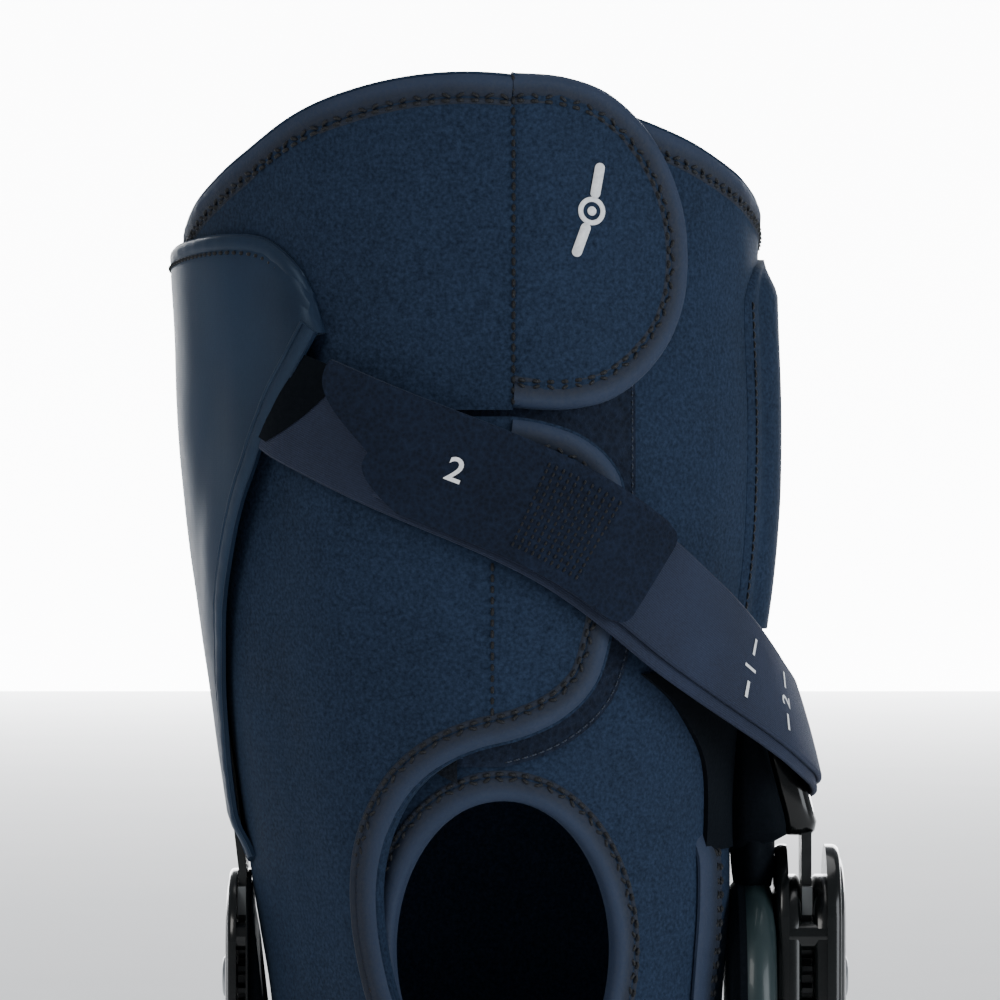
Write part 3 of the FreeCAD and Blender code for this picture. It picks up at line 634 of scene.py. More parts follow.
def pile(name, base, light, clump=620.0, bump=0.7, sheen=0.06):
    """Brushed or hooked surface: small dense clumps."""
    s = Shader(name)
    here = s.place()
    cells = s.node("ShaderNodeTexVoronoi", {"Vector": here, "Scale": clump}).outputs[0]
    fuzz = s.noise(here, clump * 2.2, 3.0, 0.7)
    mottle = s.noise(here, 55.0, 3.0)
    tone = s.maths("ADD", s.maths("MULTIPLY", s.maths("ADD", cells, fuzz), 0.38),
                   s.maths("MULTIPLY", mottle, 0.35))
    s.set(Base_Color=s.ramp(tone, [(0.3, base), (0.85, light)]), Roughness=0.9,
          Sheen_Weight=sheen, Sheen_Roughness=0.6, Sheen_Tint=(0.5, 0.6, 0.85, 1.0),
          Specular_IOR_Level=0.15)
    s.set(Normal=s.bump(s.maths("ADD", cells, fuzz), bump, 0.0006))
    return s.material


def moulded(name, base, light, rough, coat=0.0, speck=900.0, bump=0.06):
    """Moulded plastic with a faint texture, flow marks and fine wear."""
    s = Shader(name)
    here = s.place()
    flow = s.noise(here, 26.0, 4.0, 0.6, 0.6)
    fine = s.noise(here, speck, 2.0, 0.5)
    scratch = s.noise(s.place((1, 14, 1)), 120.0, 3.0, 0.7)
    wear = s.ramp(scratch, [(0.62, 0.0), (0.74, 1.0)])
    s.set(Base_Color=s.blend(s.maths("MULTIPLY", wear, 0.25),
                             s.ramp(flow, [(0.3, base), (0.75, light)]), light),
          Roughness=s.ramp(s.maths("ADD", s.maths("MULTIPLY", flow, 0.6),
                                   s.maths("MULTIPLY", scratch, 0.4)),
                           [(0.3, rough * 0.75), (0.75, rough * 1.45)]),
          Coat_Weight=coat, Coat_Roughness=0.08, Specular_IOR_Level=0.3)
    s.set(Normal=s.bump(fine, bump, 0.0002, s.bump(flow, 0.05, 0.002)))
    return s.material


def metal(name, base, light, rough, metallic):
    """Coated or brushed metal with long fine brush lines."""
    s = Shader(name)
    lines = s.noise(s.place((1, 22, 1)), 260.0, 4.0, 0.65)
    patch = s.noise(s.place(), 30.0, 3.0)
    s.set(Base_Color=s.ramp(s.maths("MULTIPLY", s.maths("ADD", lines, patch), 0.5),
                            [(0.3, base), (0.75, light)]),
          Metallic=metallic, Roughness=s.ramp(lines, [(0.3, rough), (0.75, rough + 0.16)]))
    s.set(Normal=s.bump(lines, 0.08, 0.0002))
    return s.material


def thread(name, base, light):
    s = Shader(name)
    here = s.place()
    twist = s.wave(here, "DIAGONAL", Scale=700.0, Distortion=1.0)
    grain = s.noise(here, 1500.0, 2.0)
    s.set(Base_Color=s.ramp(s.maths("MULTIPLY", s.maths("ADD", twist, grain), 0.5),
                            [(0.2, base), (0.8, light)]),
          Roughness=0.6, Sheen_Weight=0.08, Sheen_Roughness=0.4, Specular_IOR_Level=0.4)
    s.set(Normal=s.bump(twist, 0.3, 0.0002))
    return s.material


def print_ink():
    s = Shader("print_white")
    crack = s.noise(s.place(), 900.0, 3.0, 0.7)
    s.set(Base_Color=s.ramp(crack, [(0.25, (0.62, 0.64, 0.67, 1)), (0.6, (0.86, 0.87, 0.88, 1))]),
          Roughness=0.55, Specular_IOR_Level=0.3)
    s.set(Normal=s.bump(crack, 0.2, 0.0002))
    return s.material


NEOPRENE = knit("neoprene", colour(20, 30, 46), colour(47, 62, 86))
POPLITEAL = knit("stretch_panel", colour(15, 22, 34), colour(39, 50, 68), 700.0, 0.4)
STRETCH = stretch_knit()
TAPE = tape_cloth()
WEB = webbing()
LOOPS = pile("loop_nap", colour(13, 19, 31), colour(34, 45, 66))
HOOKS = pile("hook", colour(9, 12, 18), colour(26, 32, 42), 800.0, 0.8, 0.02)
TAB_CLOTH = pile("hook_tab", colour(10, 16, 29), colour(28, 40, 62), 900.0, 0.45, 0.05)
BOOT = knit("boot", colour(3, 5, 7), colour(10, 12, 17), 800.0, 0.3, 0.03, 0.8)
GLOSS = moulded("hinge_shell", colour(5, 6, 6), colour(15, 19, 19), 0.2, 0.25)
COATED = metal("bar_metal", colour(14, 16, 17), colour(38, 42, 44), 0.36, 0.3)
STEEL = metal("pin_metal", (0.3, 0.31, 0.32, 1), (0.55, 0.56, 0.58, 1), 0.26, 1.0)
PAD = moulded("pad", colour(26, 40, 43), colour(48, 64, 66), 0.32, 0.2)
STOP = moulded("stop", colour(92, 96, 98), colour(130, 134, 136), 0.4)
THREAD = thread("thread_dark", colour(2, 4, 8), colour(11, 16, 26))
SEAM_THREAD = thread("thread_seam", colour(12, 18, 28), colour(52, 66, 88))
INK = print_ink()

SLOT_MATERIALS = {
    "neoprene": NEOPRENE, "stretch_cover": STRETCH, "stretch_panel": POPLITEAL,
    "edge_tape": TAPE, "loop_nap": LOOPS, "hook": HOOKS, "webbing": WEB,
    "hook_tab": TAB_CLOTH, "hinge_shell": GLOSS, "bar_metal": COATED, "pin_metal": STEEL,
    "pad": PAD, "stop": STOP}


# ---- stitching and tapes ----
def bead(verts, faces, centre, along, out, length, radius):
    """One stitch: a short thread that dips at both ends."""
    across = along.cross(out).normalized()
    start = len(verts)
    rings = [(-0.5, 0.25, -0.9), (-0.33, 0.85, 0.0), (0.0, 1.0, 0.45), (0.33, 0.85, 0.0),
             (0.5, 0.25, -0.9)]
    for share, fat, rise in rings:
        middle = centre + along * (share * length) + out * (rise * radius)
        for k in range(6):
            turn = math.pi * k / 3
            verts.append(middle + across * (math.cos(turn) * radius * fat)
                         + out * (math.sin(turn) * radius * fat))
    for ring in range(len(rings) - 1):
        for k in range(6):
            a = start + ring * 6 + k
            b = start + ring * 6 + (k + 1) % 6
            faces.append([a, b, b + 6, a + 6])
    faces.append([start + k for k in range(6)][::-1])
    faces.append([start + (len(rings) - 1) * 6 + k for k in range(6)])


def stitches(name, line, layer, material, pitch=STITCH, length=2.5, radius=0.42, zigzag=0.0,
             place=None):
    """A row of stitches along (angle, z) points at a layer height."""
    place = place or spot
    points = resample(line, pitch)
    verts = []
    faces = []
    for k in range(len(points) - 1):
        (a0, z0), (a1, z1) = points[k], points[k + 1]
        angle, z = 0.5 * (a0 + a1), 0.5 * (z0 + z1)
        height = level_at(layer, angle, z)
        here = place(angle, z, height)
        along = (place(a1, z1, height) - place(a0, z0, height)).normalized()
        out = (place(angle, z, height + 1) - here).normalized()
        if zigzag:
            side = 1 if k % 2 else -1
            along = (along + along.cross(out) * (zigzag * side)).normalized()
        jitter = 0.9 + 0.2 * random.random()
        bead(verts, faces, here, along, out, length * jitter * MM, radius * MM)
    return make(name, verts, faces, material)


def tape(name, line, top, bottom, closed=False, width=TAPE_WIDTH, place=None, proud=TAPE_PROUD):
    """Edge tape folded round the free edge of a layer; the layer lies to the line's right."""
    place = place or spot
    even = resample(line, 2.4)
    if closed:
        even = even[:-1]
    sections = []
    uvs = []
    profile = [(1.0, -0.6), (0.94, 0.5), (0.86, 0.85), (0.77, -0.3), (0.68, 0.8), (0.5, 1.5),
               (0.3, 1.5), (0.12, 0.9), (0.03, 0.0)]
    reach = {share: shifted(even, share * width, closed) for share, _ in profile}
    length = 0.0
    for k, (angle, z) in enumerate(even):
        high = level_at(top, angle, z)
        low = level_at(bottom, angle, z)
        if k:
            length += (place(angle, z, high) - place(*even[k - 1], high)).length
        pucker = 1.0 + 0.14 * math.sin(k * 2.1) + 0.1 * math.sin(k * 0.77)
        loop = []
        row = []
        for share, rise in profile:
            here = reach[share][k]
            level = high + rise * proud * pucker
            if share == 0.03:
                level = high - 0.18 * (high - low)
            loop.append(place(here[0], here[1], level))
            row.append((length * 10, share))
        for share, rise in reversed(profile):
            here = reach[share][k]
            level = low - rise * proud
            if share == 0.03:
                level = low + 0.18 * (high - low)
            loop.append(place(here[0], here[1], level))
            row.append((length * 10, share))
        sections.append(loop)
        uvs.append(row)
    return loft(name, sections, TAPE, closed, uvs)


def taped_edge(name, line, top, bottom, closed=False, width=TAPE_WIDTH, place=None):
    """Tape with its two rows of stitches, as one object."""
    band = tape(name + "_band", line, top, bottom, closed, width, place)

    def raised(angle, z):
        return level_at(top, angle, z) + 0.35

    even = resample(line, 2.0)
    even = even[:-1] if closed else even
    outer = shifted(even, 0.70 * width, closed)
    inner = shifted(even, 0.86 * width, closed)
    if closed:
        outer.append(outer[0])
        inner.append(inner[0])
    rows = [stitches(name + "_row0", outer, raised, THREAD, STITCH, 2.3, 0.42, 0.55, place),
            stitches(name + "_row1", inner, raised, THREAD, STITCH, 2.3, 0.5, 0.0, place)]
    return join(name, [band] + rows)


# ---- rims, edges and layers of one half ----
def rim_height(angle):
    front = 0.5 + 0.5 * math.cos(math.radians(min(abs(angle), 360 - abs(angle))))
    if -180 <= angle <= 12:
        return 192 + 40 * front**3
    return 192 + 36 * front**2


def front_top(angle, z=0.0):
    """Outer face of the sleeve's lateral and front sheet: it rises over the medial panel."""
    return mix(PANEL, FRONT_LAYER, ease((angle + 50.0) / 26.0))


def front_bottom(angle, z=0.0):
    return front_top(angle) - mix(PANEL, FRONT_THICK, ease((angle + 50.0) / 26.0))


def free_edge(side):
    """Right-hand edge of the lower front sheet, from the slit down to the knee centre."""
    return on_front(smooth(TONGUE_EDGE + KNEE_EDGE[side]), side)


def row_cells(start, finish, z, count, top, bottom):
    cells = []
    for j in range(count):
        angle = mix(start, finish, j / (count - 1))
        high = z(angle) if callable(z) else z
        cells.append((angle, high, top(angle, high), bottom(angle, high)))
    return cells


def lateral_wrap(half, side):
    """Lateral panel and front sheet in one, with the slit between flap and tongue."""
    columns = 64
    rows = []
    edge = free_edge(side)
    for angle, z in reversed(resample(edge, 3.0)):
        rows.append(row_cells(-SEAM - 2, angle, z, columns, front_top, front_bottom))
    lower = slab(half + "_wrap_lower", rows, NEOPRENE)
    rows = []
    base = edge[0][1]
    slit = side * 1.6
    for i in range(27):
        share = i / 26
        right = angle_at(FLAP_LINE_X, lift(mix(150, 232, share), side))

        def height(angle, share=share):
            top = lift(rim_height(angle), side)
            start = base + slit * ease((angle + 16) / 8)
            return mix(start, top, share)
        rows.append(row_cells(-SEAM - 2, right, height, columns, front_top, front_bottom))
    upper = slab(half + "_wrap_upper", rows, NEOPRENE)
    return join(half + "_lateral_wrap", [lower, upper])


def inside_patella(angle, z, grow):
    half_width, _, centre_x, _ = section(z)
    x = centre_x + (half_width + 7.0) * math.sin(math.radians(angle))
    return ((x - PATELLA_X) / (PATELLA_HALF_WIDTH + grow))**2 + (
        (z - PATELLA_Z) / (PATELLA_HALF_HEIGHT + grow))**2 < 1


def flat_layer(value):
    return lambda *place: value


def medial_panel(half, side):
    """Medial panel from the knee centre to the rim, cut away round the kneecap."""
    count = 104 if side > 0 else 84
    rows = []
    for i in range(count):
        share = i / (count - 1)

        def height(angle, share=share):
            top = abs(lift(192 + 36 * (0.5 + 0.5 * math.cos(math.radians(angle)))**2, side))
            return side * share * top
        rows.append(row_cells(-22, SEAM + 2, height, 88, flat_layer(PANEL), flat_layer(0.0)))
    return slab(half + "_medial_wrap", rows, NEOPRENE,
                lambda a, z: not inside_patella(a, z, 3.5))


def back_panel(half, side):
    """Rear panel, a hair inside the side panels, with ribs behind the knee."""
    rows = []
    for i in range(70):
        share = i / 69

        def height(angle, share=share):
            return side * share * abs(lift(rim_height(angle), side))

        def top(angle, z):
            rib = 0.35 * math.sin(z * 1.05) * ease((75 - abs(z)) / 30)
            return PANEL - 0.5 + rib * ease((60 - abs(180 - angle)) / 20)
        rows.append(row_cells(SEAM - 8, 360 - SEAM + 8, height, 64, top, flat_layer(0.3)))
    return slab(half + "_back_wrap", rows, NEOPRENE)


def rim_tape(half, side):
    """Tape round the open end: over the front sheet, then the lateral, rear and medial panels."""
    lateral = [(a, lift(rim_height(a), side)) for a in
               [mix(angle_at(FLAP_LINE_X, lift(232, side)), -180, i / 60) for i in range(61)]]
    medial = [(a, lift(192 + 36 * (0.5 + 0.5 * math.cos(math.radians(a)))**2, side)) for a in
              [mix(180, 8, i / 60) for i in range(61)]]
    first = taped_edge(half + "_rim_tape_lateral", lateral[::-1] if side > 0 else lateral,
                       front_top, front_bottom)
    second = taped_edge(half + "_rim_tape_medial", medial[::-1] if side > 0 else medial,
                        PANEL, 0.2)
    return first, second


def d_sheet(name, spine, edge, top, bottom, material, columns=14):
    """Sheet between a stitched line and a free edge."""
    rows = []
    for (a0, z0), (a1, z1) in zip(spine, edge):
        row = []
        for j in range(columns):
            t = j / (columns - 1)
            angle, z = mix(a0, a1, t), mix(z0, z1, t)
            row.append((angle, z, top(angle, z, t), bottom(angle, z, t)))
        rows.append(row)
    return slab(name, rows, material)


def flap(half, side):
    """The flap that folds open at the stitched line, its tape and its hook patch."""
    lowest = 0.0 if side > 0 else CALF_FLAP_FROM
    outline = [(x, max(height, lowest)) for x, height in FLAP_EDGE]
    edge = resample(on_front(smooth(outline), side), 3.0)
    low, high = edge[-1][1], edge[0][1]
    spine = []
    for k in range(len(edge)):
        z = mix(high, low, ease(k / (len(edge) - 1)))
        spine.append((angle_at(FLAP_LINE_X, z), z))
    inner = shifted(edge, side * 2.0)

    def puffed(angle, z, t):
        return FRONT_LAYER + 0.4 * math.sin(math.pi * min(1, t)) - 0.35 * (1 - ease(t / 0.07))

    sheet = d_sheet(half + "_flap_sheet", spine, inner, puffed,
                    flat_layer(FRONT_LAYER - FRONT_THICK), NEOPRENE)
    line = edge if side > 0 else edge[::-1]
    band = taped_edge(half + "_flap_tape", line, FRONT_LAYER, FRONT_LAYER - FRONT_THICK)
    hook_edge = shifted(edge, side * TAPE_WIDTH)
    hooks = d_sheet(half + "_flap_hooks", spine, hook_edge,
                    flat_layer(HOOK_TOP), flat_layer(HOOK_BASE), HOOKS, 10)
    seam = stitches(half + "_flap_seam", spine[2:-2], FRONT_LAYER + 0.05, THREAD, 2.6, 2.1, 0.5)
    return sheet, band, hooks, seam


def flap_mark(half, side):
    """White print on the flap: an abstract hinge, two bars on a ring."""
    angle0, z0 = on_front([(23.5, 199.0)], side)[0]
    level = FRONT_LAYER + 0.62
    parts = []

    def dot(x, z):
        return spot(angle0 + x / round_mm(z0), z0 + z, level)

    def patch(name, outline, inner=None):
        verts = [dot(*p) for p in outline]
        if inner is None:
            return make(name, verts, [list(range(len(verts)))], INK)
        count = len(outline)
        verts += [dot(*p) for p in inner]
        faces = [[k, (k + 1) % count, count + (k + 1) % count, count + k] for k in range(count)]
        return make(name, verts, faces, INK)

    ring = [(math.cos(k * math.pi / 16), math.sin(k * math.pi / 16)) for k in range(32)]
    parts.append(patch("mark_ring", [(3.4 * x, 3.4 * z) for x, z in ring],
                       [(2.2 * x, 2.2 * z) for x, z in ring]))
    for turn, reach in ((78, 10.5), (-112, 10.5)):
        c, s = math.cos(math.radians(turn)), math.sin(math.radians(turn))
        outline = []
        for k in range(24):
            u = k * math.pi / 12
            end = 1 if math.cos(u) > 0 else -1
            along = (4.4 + reach) / 2 + (reach - 4.4) / 2 * end + 1.25 * math.cos(u)
            across = 1.25 * math.sin(u)
            outline.append((along * c - across * s, along * s + across * c))
        parts.append(patch("mark_bar", outline))
    parts.append(patch("mark_dot", [(1.1 * x, 1.1 * z) for x, z in ring]))
    mark = join(half + "_flap_mark", parts)
    thick = mark.modifiers.new("thick", "SOLIDIFY")
    thick.thickness = 0.00012
    bpy.context.view_layer.objects.active = mark
    bpy.ops.object.modifier_apply(modifier="thick")
    return mark


def loop_patch(half, side):
    edge = on_front(smooth(LOOP_EDGE), side)
    rows = []
    for angle, z in resample(edge, 4.0):
        start = angle_at(-14, z)
        rows.append([(mix(start, angle, j / 15), z, PANEL + 0.75, PANEL - 0.3)
                     for j in range(16)])
    patch = slab(half + "_loop_patch", rows, LOOPS)
    border = stitches(half + "_loop_border", shifted(edge, side * 1.0), PANEL + 0.8, SEAM_THREAD,
                      2.2, 1.9, 0.22)
    return join(half + "_loop_patch", [patch, border])


def seam_lines(half, side):
    """Flat seams where the side panels meet the rear panel."""
    parts = []
    for angle in (-SEAM, SEAM):
        top = abs(lift(rim_height(angle), side)) - 4
        line = [(angle, side * mix(4, top, k / 30)) for k in range(31)]
        for shift in (-2.2, 2.2):
            parts.append(stitches("seam", [(a + shift / round_mm(z), z) for a, z in line],
                                  PANEL + 0.05, SEAM_THREAD, 2.6, 3.0, 0.3, 1.0))
    return join(half + "_rear_seams", parts)


def front_seam(half, side):
    """Vertical stitched line on the tongue."""
    x = 0.6
    line = [(angle_at(x, lift(h, side)), lift(h, side)) for h in range(78, 128, 2)]
    return stitches(half + "_tongue_seam", line, FRONT_LAYER + 0.05, THREAD, 2.6, 2.1, 0.44)


# ---- cover and pocket over the bars ----
def cover_level(angle, z):
    """Cover stands over the bar and the front layer; it tapers to its lower end."""
    over = mix(3.2, 1.9, ease((angle + 62) / 24)) + 0.9 * math.exp(-((angle + 90) / 13.0)**2)
    fold = 0.3 * math.sin(angle * 0.22 + z * 0.035) * math.exp(-((angle + 58) / 20)**2)
    tuck = mix(0.3, 1.0, ease((abs(z) - 42) / 10))
    return front_top(angle) + (over + fold) * tuck


def lip(t, height):
    """The free edge lifts off the panel where the strap comes out from under it."""
    return 3.3 * ease((t - 0.72) / 0.28) * ease((height - 88) / 45)


def side_cover(half, side):
    arc = smooth([(a, lift(h, side)) for a, h in COVER_BACK] + on_side(COVER_TOP, side))
    free = on_side(smooth(COVER_FREE), side)
    back = arc[0][0]
    cells = []
    wide = 46
    for angle, z in resample(free, 3.5)[::-1]:
        row = []
        for j in range(wide):
            t = j / (wide - 1)
            here = mix(back, angle, t)
            level = cover_level(here, z) + lip(t, abs(z))
            row.append((here, z, level, level - mix(2.2, 1.1, ease((t - 0.8) / 0.2))))
        cells.append(row)
    corner, start = free[0]
    for k in range(1, 15):
        share = k / 14
        row = []
        for j in range(wide):
            t = j / (wide - 1)
            here = mix(back, corner, t)
            z = mix(start, height_on(arc, here), share)
            level = cover_level(here, z) + lip(t, abs(z)) * (1 - share)
            level -= 1.0 * ease((share - 0.72) / 0.28)
            row.append((here, z, level, level - 1.4))
        cells.append(row)
    sheet = slab(half + "_cover_sheet", cells, STRETCH)

    def arc_level(angle, z):
        return cover_level(angle, z) - 0.75

    line = arc if side > 0 else arc[::-1]
    band = tape(half + "_cover_arc", line, arc_level, front_top, width=6.0, proud=0.5)
    band.data.materials[0] = STRETCH
    row = shifted(resample(line, 2.0), 4.6)
    dashes = stitches(half + "_cover_dashes", row, lambda a, z: cover_level(a, z) - 0.15, THREAD,
                      2.7, 1.5, 0.5)

    def free_level(angle, z):
        return cover_level(angle, z) + lip(1.0, abs(z))

    line = free if side > 0 else free[::-1]
    hem = tape(half + "_cover_hem", line, free_level, lambda a, z: free_level(a, z) - 1.0,
               width=5.0, proud=0.4)
    hem.data.materials[0] = STRETCH
    return join(half + "_side_cover", [sheet, band, hem, dashes])


def pocket(half, side):
    """Raised channel over the medial bar, with a wide seam allowance and a round far end."""
    def over_bar(z):
        _, half_depth, _, centre_y = section(z)
        return math.degrees(math.acos(centre_y / (half_depth + PANEL)))

    rows = []
    wide = 33
    for i in range(40):
        share = i / 39
        z = lift(mix(POCKET_LOW, POCKET_HIGH, share), side)
        end = min(1.0, abs(lift(POCKET_HIGH, side) - z) / 14.0)
        half_angle = POCKET_HALF_ANGLE * math.sqrt(max(0.01, end * (2 - end)))
        row = []
        for j in range(wide):
            t = -1 + 2 * j / (wide - 1)
            flat = (1 - abs(t)**12) * 1.5
            hump = max(0.0, 1 - (t / 0.68)**4) * POCKET_HUMP * ease(end / 0.7)
            row.append((over_bar(z) + t * half_angle, z, PANEL + 0.1 + flat + hump, PANEL - 0.5))
        rows.append(row)
    parts = [slab(half + "_pocket_sheet", rows, NEOPRENE)]
    for edge in (-1, 1):
        line = []
        for h in range(98, 180, 3):
            z = lift(h, side)
            line.append((over_bar(z) + edge * POCKET_BORDER, z))
        parts.append(stitches("pocket_seam", line, PANEL + 1.4, THREAD, 2.4, 2.2, 0.3))
    return join(half + "_bar_pocket", parts)


def boot(half, side):
    """Padded boot between the sleeve and the medial bar."""
    lean = math.tan(bar_lean(side))
    sections = []
    for k in range(19):
        share = k / 18
        height = mix(BOOT_LOW, BOOT_HIGH, share)
        z = side * height
        inside = side_x(z, PANEL - 0.5, 1)
        outside = MEDIAL_BAR_X - BOOT_CLEAR - lean * max(0.0, height - MEDIAL_STRAIGHT)
        outside = max(min(outside, mix(69.5, 78.0, ease((height - 44.5) / 4))), inside + 1.2)
        round_end = math.sqrt(max(0.05, 1 - abs(2 * share - 1)**8))
        half_y = BOOT_HALF_WIDTH * round_end
        middle = 0.5 * (inside + outside)
        half_x = 0.5 * (outside - inside) * mix(0.8, 1, round_end)
        sections.append(oval(middle, half_x, half_y, z, 36, 0.5, 0.7))
    return loft(half + "_bar_boot", sections, BOOT, False, None, 60.0)


def boot_painted_shade(half, side):
    """Black sheet laid on the sleeve under the boot as painted shade, where the sleeve lies in shadow; its front
    edge runs down to the knee band.
    """
    rows = []
    edge = smooth([(38, 88), (45, 82), (50, 75), (53.6, 68), (54.8, 60), (54.6, 50), (54, 44)])
    for angle, z in resample(on_side(edge, side), 2.5):
        rows.append([(mix(angle, 112, j / 17), z, PANEL + 1.2, PANEL - 0.4) for j in range(18)])
    return slab(half + "_boot_painted_shade", rows, BOOT)


def neck(half, side):
    """Soft gusset between the boot and the pad at the inner side of the knee."""
    sections = []
    for height, half_x, half_y in ((46.5, 5.6, 13.0), (43.0, 5.6, 13.0), (40.0, 5.5, 12.5),
                                   (37.5, 5.3, 12.0), (34.0, 4.8, 10.0), (30.0, 3.0, 7.0)):
        sections.append(oval(NECK_X, half_x, half_y, side * height, 28))
    return loft(half + "_neck", sections, BOOT, False, None, 60.0)


def bar_cap(half, side):
    """Moulded cap over the bar, between the strap ring and the hinge covers."""
    lean = math.tan(bar_lean(side))
    sections = []
    for share, grow in ((0, 0.72), (0.05, 0.9), (0.15, 1), (0.5, 1.02), (0.85, 1), (0.95, 0.9),
                        (1, 0.72)):
        height = mix(CAP_LOW, CAP_HIGH, share)
        shift = lean * max(0.0, height - MEDIAL_STRAIGHT)
        middle = MEDIAL_BAR_X + BAR / 2 - CAP_INWARD - shift
        sections.append(oval(middle, 4.7 * grow, 10.0 * grow, side * height, 40, 0.6, 0.6))
    return loft(half + "_bar_cap", sections, GLOSS, False, None, 50.0)


def knee_band(half, side):
    """Stitched band down the medial edge of the sleeve at the knee."""
    line = [(BAND_ANGLE, side * h) for h in range(0, 53, 2)][::side]

    def top(angle, z):
        return PANEL + 1.4 - 2.6 * ease((abs(z) - 41) / 10)
    return taped_edge(half + "_knee_band", line, top, lambda a, z: top(a, z) - 1.2,
                      width=BAND_WIDTH)


# ---- kneecap opening ----
def patella_line(start, finish, grow=0.0):
    line = []
    for k in range(81):
        turn = math.radians(mix(start, finish, k / 80))
        x = PATELLA_X + (PATELLA_HALF_WIDTH + grow) * math.cos(turn)
        z = PATELLA_Z + (PATELLA_HALF_HEIGHT + grow) * math.sin(turn)
        line.append((angle_at(x, z), z))
    return line


def patella_tape(side):
    """Half of the tape round the kneecap, above or below the knee centre."""
    drop = math.degrees(math.asin(PATELLA_Z / PATELLA_HALF_HEIGHT))
    if side > 0:
        line = patella_line(-drop - 0.5, 180.5 + drop)
    else:
        line = patella_line(179.5 + drop, 360.5 - drop)
    name = "patella_tape_upper" if side > 0 else "patella_tape_lower"
    return taped_edge(name, line, PANEL, 0.0)


# ---- straps ----
def side_x(z, layer, outward):
    half_width, _, centre_x, _ = section(z)
    return centre_x + outward * (half_width + layer)


def strap_z(angle, side):
    return lift(along_line(STRAP_LINE, angle)[0], side)


def ring_x(z):
    meet_x = side_x(math.copysign(MEDIAL_MEETS, z), POCKET_LAYER, 1)
    share = (abs(z) - MEDIAL_STRAIGHT) / (MEDIAL_MEETS - MEDIAL_STRAIGHT)
    return MEDIAL_BAR_X + (meet_x - MEDIAL_BAR_X) * share + BAR


def bar_lean(side):
    meet_x = side_x(side * MEDIAL_MEETS, POCKET_LAYER, 1)
    return math.atan2(MEDIAL_BAR_X - meet_x, MEDIAL_MEETS - MEDIAL_STRAIGHT)


def strap_layer(angle, side):
    under = PANEL + 1.6
    near = under + (STRAP_OVER_FLAPS - under) * ease((angle - STRAP_START) / STRAP_RISE)
    z = strap_z(90.0, side)
    half_width, _, centre_x, _ = section(z)
    at_ring = ring_x(z) + STRAP_OVER_BAR - half_width - centre_x
    return near + (at_ring - near) * ease((angle - STRAP_LEAVES) / (90.0 - STRAP_LEAVES))


def strap_frame(angle, extra, side):
    """Point on the strap's inner face, its direction and its outward normal."""
    lean = bar_lean(side)
    bar_out = Vector((math.cos(lean), 0, side * math.sin(lean)))
    z = strap_z(angle, side)
    layer = strap_layer(angle, side) + extra
    here = rigid_spot(angle, z, layer)
    ahead = rigid_spot(angle + 0.5, strap_z(angle + 0.5, side),
                       strap_layer(angle + 0.5, side) + extra)
    along = (ahead - here).normalized()
    skin = (rigid_spot(angle + 1, z, layer) - rigid_spot(angle - 1, z, layer)).cross(
        rigid_spot(angle, z + 1, layer) - rigid_spot(angle, z - 1, layer)).normalized()
    share = ease((angle - STRAP_LEAVES) / (90.0 - STRAP_LEAVES))
    out = skin * (1 - share) + bar_out * share
    across = out.cross(along).normalized()
    normal = along.cross(across).normalized()
    return here, along, across, normal


def strap_band(name, start, finish, extra, side, width, thick, material, droop=0.0):
    """Woven band with rounded edges, slightly cupped across."""
    steps = int((finish - start) / 1.6) + 2
    half = width / 2
    profile = [(-1.0, 0.5), (-0.985, 0.9), (-0.93, 1.0), (-0.5, 1.0), (0, 1.0), (0.5, 1.0),
               (0.93, 1.0), (0.985, 0.9), (1.0, 0.5), (0.985, 0.1), (0.93, 0.0), (0.5, 0.0),
               (0, 0.0), (-0.5, 0.0), (-0.93, 0.0), (-0.985, 0.1)]
    sections = []
    uvs = []
    length = 0.0
    before = None
    for k in range(steps):
        angle = mix(start, finish, k / (steps - 1))
        here, _, across, normal = strap_frame(angle, extra, side)
        here = here - across * (droop * MM * side)
        length += (here - before).length if before is not None else 0.0
        before = here
        loop = []
        row = []
        for x, y in profile:
            cup = -0.35 * x * x
            loop.append(here + across * (x * half * MM) + normal * ((y * thick + cup) * MM))
            row.append((length * 10, x * half * 0.01))
        sections.append(loop)
        uvs.append(row)
    return loft(name, sections, material, False, uvs, 70.0)


def tab_end(v):
    """How far the lobed end reaches back, in millimetres along the strap; v runs across."""
    q = (1 - v) / 2
    slant = mix(-15.0, 12.0, q)
    if q < 0.6:
        return slant - 6.0 * abs(math.sin(math.pi * q / 0.6))
    return slant - 4.5 * abs(math.sin(math.pi * (q - 0.6) / 0.4))


def strap_point(angle, offset, lift_mm, side, extra):
    here, _, across, normal = strap_frame(angle, extra, side)
    return here + across * (offset * MM) + normal * (lift_mm * MM)


def degrees_per_mm(angle, side):
    step = strap_frame(angle + 1, 0, side)[0] - strap_frame(angle, 0, side)[0]
    return 1.0 / (step.length / MM)


